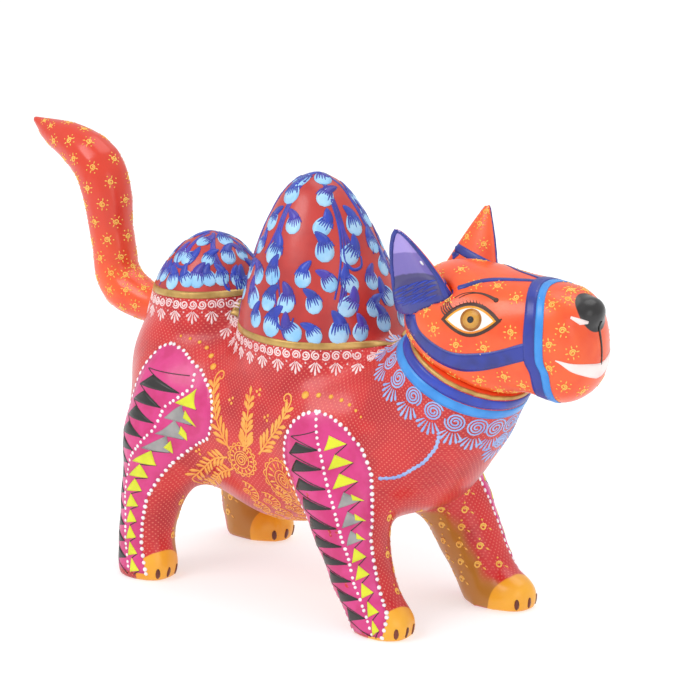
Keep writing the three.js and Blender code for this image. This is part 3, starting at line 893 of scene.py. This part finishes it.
# the painted panel on the outside of each leg
legPanels = {
    "front": {  # z, and the angles in degrees from straight out: rear edge, row of dots, front edge
        "rows": [(76.4, -4, -2, 0), (75.2, -16, -2, 16), (72, -26, -1, 34), (66.5, -34, 1, 49),
                 (58, -41, 10, 60),
                 (48, -47, 19, 69), (38, -52, 25, 72), (28, -55, 27, 70), (19, -55, 24, 69),
                 (10, -50, 22, 62),
                 (1.5, -36, 26, 44)],
        "right": [(76, 38, -14), (66, 40, -15), (57, 41, -17), (49, 43, -20), (36, 49, -26),
                  (19, 54.5, -26),
                  (9, 60, -26), (0, 63, -26)],
        "left": [(76, 38, 16), (66, 40, 17), (57, 41, 19), (46, 43.5, 24), (33, 50.5, 28), (22, 56.5, 28.5),
                 (11, 64, 28), (0, 69, 27.5)],
        "triangles": 11, "top": 70, "bottom": 2, "greys": (3, 4, 5), "slant": (0, 1),
        "crownDots": [(30, 80.6, 1.5), (35, 81.2, 1.0), (39.6, 81.2, 0.9), (43.8, 80.6, 0.8),
                      (47.5, 79.6, 0.72),
                      (50.8, 78.2, 0.62), (53.6, 76.6, 0.52)],
    },
    "rear": {
        "rows": [(85.4, -3, 0, 3), (84, -16, 14, 22), (79, -24, 38, 44), (73.5, -28, 36, 50),
                 (65.5, -33, 12.5, 51),
                 (57.8, -38, 6, 50), (50.6, -42, -2, 50), (45, -46, -10, 47), (38.9, -52, -17, 42),
                 (32, -58, -20, 32), (22, -60, -14, 29), (13, -58, -6, 34), (3, -48, 8, 46)],
        "right": [(85, -39, -9), (70, -38, -10.5), (57, -38, -12), (50.6, -40.5, -18), (45, -43, -22),
                  (38.9, -44, -25.5), (30, -45, -28.5), (15, -46.5, -30.5), (0, -47, -31.5)],
        "left": [(85, -39, 11), (70, -38, 12.5), (57, -38.5, 15), (50.6, -42, 20), (45, -46, 24),
                 (38.9, -49, 27),
                 (30, -51.5, 29.5), (15, -53.5, 31), (0, -50, 30.5)],
        "triangles": 13, "top": 80, "bottom": 3, "greys": (2, 3, 4), "slant": (5, 2),
        "crownDots": [(-37, 88.2, 0.55), (-33.2, 87.8, 0.65), (-29.4, 87, 0.75), (-25.8, 85.6, 0.9),
                      (-22.2, 83.6, 1.1), (-18.8, 80.8, 1.35)],
    },
}


def along(table, z):
    # the table's row at a height, between its rows
    if z >= table[0][0]:
        return table[0][1:]
    for upper, lower in zip(table, table[1:]):
        if z >= lower[0]:
            f = (z - lower[0]) / (upper[0] - lower[0])
            return [a * f + b * (1 - f) for a, b in zip(upper[1:], lower[1:])]
    return table[-1][1:]


def legAxis(panel, side):
    return panel["right" if side < 0 else "left"]


def legMap(panel, side):
    # u is -1 at the panel's rear edge, 0 at its row of dots and 1 at its front edge; v is the height
    axis = legAxis(panel, side)

    def place(u, v):
        x, y = along(axis, v)
        rear, middle, front = along(panel["rows"], v)
        turn = math.radians(middle + (front - middle) * u if u > 0 else middle + (middle - rear) * u)
        out = Vector((math.sin(turn), side * math.cos(turn), 0))
        return Vector((x, y, v)) + out * 40, -out
    return place


def evenly(canvas, place, path, pitch):
    # positions on the surface a pitch apart along a path of (u, v)
    spots = [canvas.hit(place, *point)[0] / mm for point in path]
    kept, run = [path[0]], 0.0
    for a, b, point in zip(spots, spots[1:], path[1:]):
        run += (b - a).length
        if run >= pitch:
            kept.append(point)
            run -= pitch
    return kept


def dotRow(canvas, paint, place, path, pitch, radius):
    for u, v in evenly(canvas, place, path, pitch):
        flat = canvas.near(place, u, v)
        canvas.blob(paint, flat, 0, 0, radius * dice.uniform(0.9, 1.08), crown=0.3, sides=8)


def triangle(canvas, paint, place, a, b, c, lift=0.24):
    # a flat dab with three corners: a and b on its broad side, c its point
    rows = 9
    bm = canvas.ink(paint)
    made = bmesh.ops.create_grid(bm, x_segments=4, y_segments=rows - 1, size=1)["verts"]
    for vert in made:
        s, t = (vert.co.x + 1) / 2, (vert.co.y + 1) / 2 * 0.985
        u = (a[0] * (1 - s) + b[0] * s) * (1 - t) + c[0] * t
        v = (a[1] * (1 - s) + b[1] * s) * (1 - t) + c[1] * t
        spot, normal = canvas.hit(place, u, v)
        vert.co = spot + normal * lift * mm


def paintLegPanel(canvas, panel, side):
    place = legMap(panel, side)
    rows = panel["rows"]
    top, bottom = rows[0][0], rows[-1][0]
    bm = canvas.ink("magenta")
    height, columns = 58, 14
    for vert in bmesh.ops.create_grid(bm, x_segments=columns, y_segments=height, size=1)["verts"]:
        spot, normal = canvas.hit(place, vert.co.x, top + (bottom - top) * ((vert.co.y + 1) / 2) ** 1.25)
        vert.co = spot + normal * 0.1 * mm
    fine = [top + (bottom - top) * (k / 160) ** 1.6 for k in range(161)]
    for edge in (-1, 1):
        dotRow(canvas, "white", place, [(edge, v) for v in fine], 2.35, 0.82)
    inside = [v for v in fine[8:] if along(rows, v)[2] - along(rows, v)[1] > 8]
    dotRow(canvas, "white", place, [(0, v) for v in inside], 2.1, 0.68)
    pitch = (panel["top"] - panel["bottom"]) / panel["triangles"]
    for k in range(panel["triangles"]):
        v = panel["top"] - k * pitch
        # on the haunch the points hang down towards the front
        high, low = panel["slant"]
        drop = low + (high - low) * min(1, max(0, (v - 38) / 26))
        # black: broad at the rear edge, pointed at the row of dots, with its zigzag line
        if k:
            triangle(canvas, "black", place, (-0.86, v - pitch * 0.52), (-0.66, v + pitch * 0.24),
                     (-0.08, v - drop * 0.6))
        for path in ([(-0.84, v - pitch * 0.52), (-0.06, v - pitch - drop * 0.6)],
                     [(-0.06, v - drop * 0.6), (-0.82, v - pitch * 0.5)]):
            canvas.stroke("black", place, bent(path, 9), 0.3, columns=1, lift=0.2, crown=0.04)
        # green or grey on the front side: broad at the row of dots, its point towards the front edge
        mid = v - pitch * 0.55
        fill = "grey" if k in panel["greys"] else "lime"
        _, middle, front = along(rows, mid)
        if front - middle < 14:
            continue
        point = (0.72, mid - drop + pitch * 0.05)
        triangle(canvas, fill, place, (0.1, mid - pitch * 0.45 - drop * 0.1), (0.34, mid + pitch * 0.42),
                 point)
        if fill == "grey":
            triangle(canvas, "lime", place, (0.5, mid + pitch * 0.34 - drop * 0.3),
                     (0.5, mid + pitch * 0.02 - drop * 0.5),
                     (0.8, mid - drop), lift=0.26)
        canvas.stroke("black", place, bent([point, (0.34, mid - pitch * 0.6)], 9), 0.3, columns=1, lift=0.2,
                      crown=0.04)
    for x, z, radius in panel["crownDots"]:
        flat = canvas.near(sideMap(side), x, z)
        canvas.blob("yellow", flat, 0, 0, radius, crown=0.35)


# the yellow flowers and ferns on the flanks
flank = {
    "ferns": [  # stem points (x, z) from the root to the tip, leaflet length at the root
        ([(-2, 55), (-8, 62), (-12.5, 70), (-15.5, 77)], 6.4, 1),
        ([(5, 56), (5.5, 64), (5, 76)], 5.6, 0),
        ([(11, 56), (16, 62), (22, 69), (25, 76.5)], 6.2, -1),
        ([(-4, 52), (-12, 49.5), (-20, 44), (-27, 38.5)], 5.4, -1),
        ([(-2, 48), (-10, 44.5), (-17, 39.5), (-24, 36.5)], 4.2, 0),
    ],
    "leaflets": 8,
    "flowers": [(3, 52.5, 3.2, 5.4), (21, 47.5, 4.4, 8.2)],
    "triples": [(-5, 72.5), (8, 78), (13.5, 70), (-21, 50.5)],
}


def paintFern(canvas, place, stem, leaf, curl):
    path = bent(stem, 22)
    if curl:
        (x0, z0), (x1, z1) = path[-2], path[-1]
        heading = math.atan2(z1 - z0, x1 - x0)
        for k in range(1, 15):
            heading -= curl * (0.26 + k * 0.028)
            x1 += 1.05 * (1 - k * 0.045) * math.cos(heading)
            z1 += 1.05 * (1 - k * 0.045) * math.sin(heading)
            path.append((x1, z1))
    count = len(path)
    canvas.stroke("fern", place, path, [0.75 - 0.3 * i / count for i in range(count)], columns=1)
    for k in range(flank["leaflets"]):
        i = 2 + int(k * 19 / flank["leaflets"])
        (x0, z0), (x1, z1) = path[i - 1], path[i]
        heading = math.atan2(z1 - z0, x1 - x0)
        size = leaf * (1 - 0.42 * k / flank["leaflets"])
        for side in (-1, 1):
            teardrop(canvas, "fern", place, x1, z1, heading + side * 0.75, size, 1.5, bend=-side * 0.12,
                     count=6,
                     columns=1)
    if not curl:
        x, z = path[-1]
        heading = math.atan2(path[-1][1] - path[-2][1], path[-1][0] - path[-2][0])
        teardrop(canvas, "fern", place, x, z, heading, leaf * 0.6, leaf * 0.26, count=4, columns=1)


def paintFlower(canvas, place, x, z, inner, outer):
    canvas.stroke("fern", place, spiralPath(x, z, inner * 0.8, 2.4, inner=0.4), 0.42, columns=1)
    for radius in (inner, outer):
        ring = [onRing(x, z, radius, k * math.pi / 14) for k in range(29)]
        canvas.stroke("fern", place, ring, 0.36, columns=1, closed=True)
    petals = 15
    for k in range(petals):
        a = k / petals * 2 * math.pi
        teardrop(canvas, "fern", place, *onRing(x, z, inner * 1.1, a), a,
                 (outer - inner) * 0.72, 0.85, count=4, columns=1)
        scallop = [onRing(x, z, outer + 1.15 * math.sin(t * math.pi), a + (t - 0.5) * 2 * math.pi / petals)
                   for t in (0, 0.25, 0.5, 0.75, 1)]
        canvas.stroke("fern", place, scallop, 0.4, columns=1)


def paintFlank(canvas, side):
    place = sideMap(side)
    for stem, leaf, curl in flank["ferns"]:
        paintFern(canvas, place, stem, leaf, curl)
    for flower in flank["flowers"]:
        paintFlower(canvas, place, *flower)
    for x, z in flank["triples"]:
        for dx, dz in ((0, 0), (1.5, 0.9), (1.4, -0.9)):
            canvas.blob("fern", canvas.near(place, x + dx, z + dz), 0, 0, 0.6)


belly = {"centre": (11, 1, 60), "radius": 30, "reach": 60, "rows": (-10, -3, 4, 11, 18), "across": 9,
         "pitch": 7.2}


def paintBelly(canvas):
    # rows of scalloped filigree that run under the belly from flank to flank
    place = ringMap(belly["centre"], (1, 0, 0), (0, 0, -1), belly["radius"], belly["reach"])
    for row, v in enumerate(belly["rows"]):
        for k in range(belly["across"]):
            u = (k - belly["across"] // 2 + (0.5 if row % 2 else 0)) * belly["pitch"]
            flat = canvas.near(place, u, v, (1, 0, 0))
            canvas.stroke("fern", flat, spiralPath(0, 0, 1.9, 1.9, inner=0.3, count=18), 0.4, columns=1)
            for i in range(7):
                a = math.pi * (0.1 + 0.8 * i / 6)
                teardrop(canvas, "fern", flat, *onRing(0, 0, 2.3, a), a, 2.5, 0.8, count=4,
                         columns=1)
            arch = [onRing(0, 0, 4.9, math.pi * t / 12) for t in range(13)]
            canvas.stroke("fern", flat, arch, 0.4, columns=1)


neck = {
    "forward": (0.9063, 0, -0.4226),
    "radius": 22.5, "reach": 34,
    "bands": [("gold", -0.8, 1.4), ("ultramarine", -3.1, 3.9), ("brightBlue", -6.4, 3.9)],
    "rings": 17, "ringSize": 4.0,
    "beads": [(83.2, 73.5), (81.5, 69.5), (78.9, 66.1), (76, 62.8), (73, 60.6), (69.5, 58), (65.9, 56.3),
              (61.5, 55.6)],
}


def paintNeck(canvas):
    place = ringMap(neckJoint["centre"], neckJoint["axis"], neck["forward"], neck["radius"], neck["reach"])
    around = 2 * math.pi * neck["radius"]

    def sag(u):
        # the collar hangs lower in front
        return 1.2 + 1.2 * math.cos(u / neck["radius"])

    for paint, level, width in neck["bands"]:
        share = -level / 7
        path = [(around * k / 96, level - share * sag(around * k / 96)) for k in range(97)]
        canvas.stroke(paint, place, path, width, columns=3, lift=0.12 if paint != "gold" else 0.2,
                      closed=True)
    count = neck["rings"]
    for k in range(count):
        u = around * (k + 0.5) / count
        level = -11.4 - 2.6 * sag(u) / 2.4 - 1.2 * math.cos(u / neck["radius"])
        size = neck["ringSize"] * (0.88 + 0.22 * math.cos(u / neck["radius"]) ** 2)
        flat = canvas.near(place, u, level, neckJoint["axis"])
        canvas.stroke("periwinkle", flat, spiralPath(0, 0, size, 3.0, start=dice.uniform(0, 6), inner=0.5,
                                                     count=40),
                      0.6, columns=1)
        for i in range(6):
            # a fan of fine drops, wide at the far end
            lean = (i - 2.5) * 0.19
            length = 5.4 - abs(i - 2.5) * 0.7
            start = Vector((math.sin(lean), -math.cos(lean))) * (size + 0.7)
            reach = Vector((math.sin(lean * 1.5), -math.cos(lean * 1.5))) * length
            canvas.stroke("periwinkle", flat, [tuple(start + reach * t) for t in (0, 0.25, 0.5, 0.75, 0.92,
                                                                                  1)],
                          [0.25, 0.42, 0.62, 0.95, 0.85, 0.35], columns=1)
    # the pendant on the breast
    chest = canvas.near(place, 3, -22.5, neckJoint["axis"])
    canvas.stroke("periwinkle", chest, spiralPath(0, 0, 3.5, 3.0, inner=0.5, count=40), 0.62, columns=1)
    for k in range(8):
        lean = (k - 3.5) * 0.3
        teardrop(canvas, "periwinkle", chest, 4.4 * math.sin(lean), -4.4 * math.cos(lean),
                 -math.pi / 2 + lean * 1.3,
                 6.4 - abs(k - 3.5) * 0.9, 1.4, count=5, columns=1)
    for side in (-1, 1):
        flat = sideMap(side)
        canvas.stroke("periwinkle", flat, bent(neck["beads"], 30), 1.0, columns=1)
        for x, z in bent(neck["beads"], 15):
            canvas.blob("periwinkle", canvas.near(flat, x, z), 0, 0, 0.85)


innerMarks = {"lowest": 9, "rows": 6, "apart": 6.2, "turns": (-52, -16, 20, 56), "stagger": 18, "reach": 24}


def paintInnerLegs(canvas):
    # rows of small curls with a dot and a drop, on the sides of the legs that face each other
    for panel in legPanels.values():
        for side in (-1, 1):
            for row in range(innerMarks["rows"]):
                z = innerMarks["lowest"] + row * innerMarks["apart"]
                x, y = along(legAxis(panel, side), z)
                for turn in innerMarks["turns"]:
                    if z < 15 and turn > 10:  # the paws stay plain
                        continue
                    angle = math.radians(turn + (innerMarks["stagger"] if row % 2 else 0))
                    inward = Vector((math.sin(angle), -side * math.cos(angle), 0))
                    flat = canvas.near(pointMap(Vector((x, y, z)), inward, innerMarks["reach"]), 0, 0)
                    canvas.stroke("sun", flat, spiralPath(0, 0, 1.35, 1.4, inner=0.5, count=14), 0.55,
                                  columns=1,
                                  crown=0.06)
                    canvas.blob("sun", flat, 0, 2.6, 0.45, sides=6)
                    teardrop(canvas, "sun", flat, 2.0, -0.6, -0.6, 1.6, 0.7, count=3, columns=1)


claws = {"angles": (-30, 0, 30), "height": 3.0, "back": 3, "lengthwise": (-1.9, -1.2, 0, 1.2, 1.9),
         "widths": [0.7, 1.5, 1.8, 1.4, 0.6]}


def paintPaws(canvas):
    for x, y, _, radius in bodyPaint["paws"].values():
        place = ringMap((x - claws["back"], y, 0), (0, 0, 1), (1, 0, 0), radius, radius + 12)
        for angle in claws["angles"]:
            flat = canvas.near(place, radius * math.radians(angle), claws["height"])
            canvas.stroke("claw", flat, [(0, v) for v in claws["lengthwise"]], claws["widths"], lift=0.1,
                          crown=0.25)


# how the head is turned on the neck
headTurn = {"about": (74, 0, 108), "stands": (81.5, 1, 108), "yaw": 8, "roll": 4}
headMatrix = (Matrix.Rotation(math.radians(headTurn["yaw"]), 3, "Z")
              @ Matrix.Rotation(math.radians(headTurn["roll"]), 3, "X"))


def turned(point, direction):
    spot = headMatrix @ (point - Vector(headTurn["about"])) + Vector(headTurn["stands"])
    return spot, headMatrix @ direction


def headMap(side):
    # u runs from the nape to the nose, v round the head in millimetres of a 20 mm circle, up from the cheek
    def place(u, v):
        a = v / 20
        out = Vector((0, side * math.cos(a), math.sin(a)))
        return turned(Vector((u, 0, 108)) + out * 44, -out)
    return place


face = {
    "cheekTop": [(60.5, 13), (62.2, 9), (65.3, 4.2), (72.3, 0.9), (79.1, -0.8), (86.6, -0.6), (95.3, 1),
                 (106, 5.6)],
    "cheekBottom": [(55.2, 11), (56.7, 5.1), (64.2, -0.9), (71.8, -4.5), (79.8, -6.5), (86.5, -6.8),
                    (94.6, -5.8),
                    (106, -1.8)],
    "browLine": [(57.5, 9.5), (61.5, 12.4), (68.5, 15.6), (78.3, 19.4), (84, 23.5), (90, 26.6), (97.5, 29),
                 (103, 30.6)],
    "muzzle": [(-25, 105.8), (-14, 106.6), (-7.6, 106.6), (-2.2, 105.1), (6.8, 104.9), (16.2, 104.2),
               (27.5, 100.6),
               (31.4, 100.2)],  # v and u of the muzzle band's rear edge
    "muzzleNavy": 4.1, "muzzleBlue": 2.9,
    "nose": (47, 0, 12.8), "noseRadius": 7.2,
    "lipTop": [(-14.8, 107.6), (-12, 106.1), (-7, 105.0), (-2, 103.9), (0, 103.7)],
    "lipBottom": [(-14.8, 107.2), (-12, 103.2), (-7, 100.4), (-2, 98.4), (0, 98.2)],
    "eye": (85.6, 9.8), "eyeTilt": 0.12, "eyeHalf": 8.4, "eyeUp": 4.3, "eyeDown": 3.9,
    "brow": [(79.3, 15.6), (81.5, 17.3), (85, 18.6), (88.6, 18.7), (92.4, 17.9)],
    "suns": [(112.7, 20.9), (116.2, 25.6), (118.2, 13.2), (114.2, 6.0), (121.4, 3.4), (113.9, -4.8),
             (118, -14),
             (121.5, -23), (99, 20.3), (100.2, 8.4), (91, 1.6), (81.2, 1.5), (71.9, 5.2), (67.0, 11),
             (75, 14.6),
             (82.5, 21.4), (90.2, 23.4), (68.5, -5.4), (78.2, -10), (88, -10.6), (96.6, -9.6), (103, -13.5),
             (92.8, -16.4), (84, -15.6), (74, -13.5), (97, -20), (60.5, 0.5), (59.5, 21), (66, 23),
             (73.5, 26.5),
             (60, 28.5), (112, -20), (108, -28), (114, 31), (107.5, 24.5)],
    "napeSuns": [(-8.5, 114), (0, 121), (8.5, 114), (0, 107), (-15, 106.5), (15, 106.5), (-7.5, 100.5),
                 (7.5, 100.5)],
}


def widthBand(canvas, paint, place, lower, upper, lift, columns=4, count=40):
    # a band between two edges, each a few points
    low, high = bent(lower, count), bent(upper, count)
    bm = canvas.ink(paint)
    for vert in bmesh.ops.create_grid(bm, x_segments=columns, y_segments=count - 1, size=1)["verts"]:
        s, i = (vert.co.x + 1) / 2, round((vert.co.y + 1) / 2 * (count - 1))
        u = low[i][0] * (1 - s) + high[i][0] * s
        v = low[i][1] * (1 - s) + high[i][1] * s
        spot, normal = canvas.hit(place, u, v)
        vert.co = spot + normal * (lift + 0.06 * (1 - (2 * s - 1) ** 2)) * mm


def almond(half, up, down, count=17):
    # centre line and widths of the eye's shape
    path, widths = [], []
    for k in range(count):
        t = -1 + 2 * k / (count - 1)
        rise = up * (1 - abs(t) ** 1.9)
        drop = down * (1 - abs(t) ** 1.9)
        path.append((half * t, (rise - drop) / 2))
        widths.append(max(0.08, rise + drop))
    return path, widths


def paintEye(canvas, side):
    u, v = face["eye"]
    base = headMap(side)
    tilt = face["eyeTilt"]
    forward = headMatrix @ Vector((1, 0, 0))
    spot, normal = canvas.hit(base, u, v)
    # a flat map whose first axis points to the nose on both sides
    right = (forward - normal * normal.dot(forward)).normalized()
    up = normal.cross(right) * (1 if side > 0 else -1)
    if up.z < 0:
        up = -up
    right, up = right * math.cos(tilt) + up * math.sin(tilt), up * math.cos(tilt) - right * math.sin(tilt)
    centre = spot / mm
    flat = lambda a, b: (centre + right * a + up * b + normal * 8, -normal)
    half, high, low = face["eyeHalf"], face["eyeUp"], face["eyeDown"]
    for paint, grow, lift in (("umber", 2.3, 0.12), ("liner", 0.85, 0.2), ("sclera", 0.0, 0.28)):
        path, widths = almond(half + grow * 1.15, high + grow, low + grow * 0.85)
        canvas.stroke(paint, flat, path, widths, columns=8, lift=lift, crown=0.08)
    canvas.blob("iris", flat, 0.4, 0.2, 3.9, lift=0.42, crown=0.3, sides=28)
    canvas.blob("irisLight", flat, 0.4, 0.2, 3.0, lift=0.5, crown=0.32, sides=24)
    canvas.blob("black", flat, 0.4, 0.2, 1.15, lift=0.8, crown=0.2, sides=16)
    # lashes at the rear corner, a shade line over the lid, the corner's tail
    for k in range(5):
        teardrop(canvas, "umber", flat, -half + 0.2 + k * 0.6, 1.2 + k * 0.7, math.radians(155 - k * 13),
                 -3.4, 0.45,
                 count=4, columns=1, lift=0.2)
        canvas.stroke("umber", flat, bent([(-half - 0.4 + k * 0.5, 1.0 + k * 0.65),
                                           (-half - 2.4 + k * 0.55, 2.6 + k * 0.75),
                                           (-half - 3.2 + k * 0.75, 4.6 + k * 0.7)], 6),
                                           [0.6, 0.55, 0.45, 0.35, 0.25, 0.12],
                      columns=1, lift=0.16)
    canvas.stroke("umber", flat, [(half + 0.6, -0.3), (half + 1.8, 0.2), (half + 3.0, 0.9)],
                  [1.6, 1.0, 0.3], columns=1,
                  lift=0.15)
    for k in range(14):
        t = -0.8 + 1.6 * k / 13
        rise = (high + 1.9) * (1 - abs(t) ** 1.9)
        canvas.stroke("umber", flat, [((half + 1) * t, rise), ((half + 1) * t - 0.5 + 0.5 * t, rise + 1.0)],
                      [0.3, 0.1], columns=1, lift=0.1, crown=0.03)
    brow = bent(face["brow"], 16)
    canvas.stroke("umber", base, brow, [0.25 + 1.15 * (i / 15) ** 2 for i in range(16)])
    canvas.blob("umber", base, brow[-1][0], brow[-1][1], 0.95)
    canvas.stroke("umber", base, [(a - 1.6, b - 0.1) for a, b in brow[:10]], 0.22, columns=1)


def paintHead(canvas):
    for side in (-1, 1):
        place = headMap(side)
        widthBand(canvas, "navy", place, face["cheekBottom"], face["cheekTop"], 0.14)
        canvas.stroke("navy", place, bent(face["browLine"], 30), 1.9, lift=0.14)
        paintEye(canvas, side)
        for u, v in face["suns"]:
            sunMotif(canvas, "sun", place, u, v, 3.0)
        navy, blue = face["muzzleNavy"], face["muzzleBlue"]
        edges = [[(u + shift, v) for v, u in face["muzzle"]] for shift in (0, navy, navy + blue)]
        widthBand(canvas, "navy", place, edges[0], edges[1], 0.2)
        widthBand(canvas, "brightBlue", place, edges[1], edges[2], 0.2)
    for u, v in face["napeSuns"]:
        sunMotif(canvas, "sun", lambda a, b: turned(Vector((20, a, b)), Vector((1, 0, 0))), u, v, 3.0)
    front = frontMap(turned)
    # smile, lip line and nostrils
    for side in (-1, 1):
        lower, upper = ([(-side * y, z) for y, z in face[lip]] for lip in ("lipBottom", "lipTop"))
        widthBand(canvas, "smile", front, lower, upper, 0.2, count=20)
        canvas.stroke("smile", front, [(side * 5.4, 119.4), (side * 7.4, 119.9), (side * 9.6, 121.8)],
                      [1.0, 2.1, 0.9])
    canvas.stroke("black", front, [(0, 118.5 - k * 1.55) for k in range(11)],
                  [1.1 - 0.04 * k for k in range(11)],
                  columns=2, lift=0.2)


# the ears' hollows, rims and feet
ears = {
    "right_ear": {"side": -1, "foot": (73.03, -13.45, 116.6)},
    "left_ear": {"side": 1, "foot": (69.32, 12.22, 118.42)},
    "tones": [("2d3690", 0), ("463f78", 0.2), ("7c6dbd", 0.42), ("ab98e3", 0.7)],
    # colour, share of the height
    "height": 31.5, "rim": "26339a",
    "suns": [(-5.5, 6), (0.5, 5.5), (6, 6.5), (-4, 17), (3.6, 16), (-0.5, 22.5), (0.4, 27)],
    "band": [(-12.0, 12.6), (-6, 12.2), (0, 11.2), (6, 10.0), (12.0, 8.6)],
}


def earAxes(name):
    joint = next(j for j in frame["joints"] if j["child"] == name)
    up = Vector(joint["axis"]).normalized()
    across = (Vector((1, 0, 0)) - up * up.x).normalized()
    return up, across, up.cross(across) * ears[name]["side"]


def earFinish(name):
    # the hollow pales in steps towards the tip; a dark blue rim, orange behind
    material, tree, shader = finish(name + "_paint", 0.3, coat=0.35)
    point = objectPoint(tree)
    up, _, outward = earAxes(name)
    foot = ears[name]["foot"]
    facing = wire(tree, "ShaderNodeVectorMath", tree.nodes.new("ShaderNodeTexCoord").outputs["Normal"],
                  tuple(outward),
                  operation="DOT_PRODUCT").outputs["Value"]
    local = wire(tree, "ShaderNodeVectorMath", point, [c * mm for c in foot],
                 operation="SUBTRACT").outputs[0]
    height = wire(tree, "ShaderNodeVectorMath", local, tuple(up), operation="DOT_PRODUCT").outputs["Value"]
    share = sums(tree, "DIVIDE", height, ears["height"] * mm)
    brush = placeBrushwork(tree, point, 10.0, 0.8)
    share = sums(tree, "ADD", share, sums(tree, "MULTIPLY",
                                          sums(tree, "SUBTRACT", brush.outputs["Patch"], 0.5), 0.12))
    hollow = tint(ears["tones"][0][0])
    for colour, start in ears["tones"][1:]:
        hollow = mixColour(tree, between(tree, share, start - 0.012, start + 0.012), hollow, tint(colour))
    back = drifting(tree, brush, orangePaint["orange"], orangePaint["orangeDeep"])
    rimmed = mixColour(tree, between(tree, facing, -0.35, -0.25), back, tint(ears["rim"]))
    colour = mixColour(tree, between(tree, facing, 0.62, 0.68), rimmed, hollow)
    finishSurface(tree, shader, colour, brush, 0.3, 0.35)
    return material


def paintEar(canvas, name):
    up, across, outward = earAxes(name)
    foot = Vector(ears[name]["foot"])
    back = lambda u, v: (foot + across * u + up * v - outward * 20, outward)
    inside = lambda u, v: (foot + across * u + up * v + outward * 20, -outward)
    for u, v in ears["suns"]:
        sunMotif(canvas, "sun", back, u, v, 2.6)
    canvas.stroke("navy", back, bent(ears["band"], 30), 3.0, columns=4)
    canvas.blob("white", inside, 4.2, 17.4, 1.0)
    for k in range(16):
        u, v = -11 + 4.4 * (k // 4), 3.2 + 1.5 * (k % 4) + 0.5 * (k // 4)
        canvas.stroke("ultramarine", inside, bent([(u, v), (u + 3.2, v + 1.2), (u + 6.6, v + 1.9)], 8),
                      [0.2, 0.5, 0.7, 0.8, 0.8, 0.6, 0.4, 0.15], columns=1)
    # the dark blue edge all round the hollow
    for edge in (-1, 1):
        rim = [(edge * 12.6 * (1 - t ** 1.3) ** 0.7, t * 31.2) for t in [i / 27 for i in range(28)]]
        canvas.stroke("navy", inside, rim, [2.4 - 0.8 * i / 27 for i in range(28)], columns=3, lift=0.12)


tailCurve = {
    "line": [(-70, 88.9), (-79, 89), (-88, 91), (-94.6, 93.6), (-98.4, 99), (-99.4, 106.5), (-101.3, 115),
             (-102.7, 126), (-107.5, 137), (-118.5, 143), (-131, 146.2), (-140.5, 149.6)],
    "shift": 7.5, "round": 6,
}


def paintTail(canvas):
    line = bent([(x + tailCurve["shift"], z) for x, z in tailCurve["line"]], 120)
    walked = [0.0]
    for (x0, z0), (x1, z1) in zip(line, line[1:]):
        walked.append(walked[-1] + math.hypot(x1 - x0, z1 - z0))
    total = walked[-1]
    row, s = 0, 12.0
    while s < total - 5:
        i = next(k for k, w in enumerate(walked) if w >= s)
        (x0, z0), (x1, z1) = line[i - 1], line[min(i + 1, len(line) - 1)]
        heading = Vector((x1 - x0, 0, z1 - z0)).normalized()
        level = Vector((0, 1, 0))
        lift = heading.cross(level)
        count = tailCurve["round"] if s < total - 22 else 4 if s < total - 12 else 3
        size = 2.75 if s < total - 18 else 2.1
        for k in range(count):
            a = 2 * math.pi * (k + 0.5 * (row % 2)) / count
            out = level * math.cos(a) + lift * math.sin(a)
            centre = Vector((line[i][0], 1, line[i][1]))
            sunMotif(canvas, "sun", pointMap(centre, out, 14), 0, 0, size, up=heading)
        s += 6.4 if s < total - 20 else 5.2
        row += 1


brushwork = buildBrushwork()
stipple = buildStipple()
setStudio()
pieces, skins = carvePieces()
paints = {name: paintFinish(name + "Paint", colour, deep, roughness, metallic, bristle=0.8)
          for name, (colour, deep, roughness, metallic) in inks.items()}

redBody = redBodyFinish()
grounds = {name: redBody for name in list(carving["legs"]) + ["torso"]}
grounds["large_hump"] = humpFinish("largeHumpPaint", humpMaps["large_hump"])
grounds["small_hump"] = humpFinish("smallHumpPaint", humpMaps["small_hump"])
noseAt = headMatrix @ Vector(face["nose"]) + Vector(headTurn["stands"])
grounds["head"] = orangeFinish("headPaint", noseAt=noseAt)
grounds["tail"] = orangeFinish("tailPaint", tailFade=True)
for name in ("right_ear", "left_ear"):
    grounds[name] = earFinish(name)
for name, piece in pieces.items():
    piece.data.materials.clear()
    piece.data.materials.append(grounds[name])

canvases = {name: Canvas(name, skins[name], name if name in ("right_ear", "left_ear", "tail") else "figure",
                         "red_paint" if name == "body" else "orange_paint")
            for name in ("body", "head", "right_ear", "left_ear", "tail")}
for hump in humpMaps.values():
    paintHump(canvases["body"], hump)
    paintHumpBase(canvases["body"], hump)
print("humps painted")
for side in (-1, 1):
    for panel in legPanels.values():
        paintLegPanel(canvases["body"], panel, side)
    paintFlank(canvases["body"], side)
paintBelly(canvases["body"])
paintInnerLegs(canvases["body"])
paintPaws(canvases["body"])
paintNeck(canvases["body"])
print("body painted")
paintHead(canvases["head"])
paintEar(canvases["right_ear"], "right_ear")
paintEar(canvases["left_ear"], "left_ear")
paintTail(canvases["tail"])
for canvas in canvases.values():
    canvas.finishSheets()

wood = paintFinish("bareWood", "d8b98a", "c19f6c", 0.7, patchSize=4.0, bristle=2.0)
for name in carving["dowels"]:
    nodes[name].data.materials.clear()
    nodes[name].data.materials.append(wood)
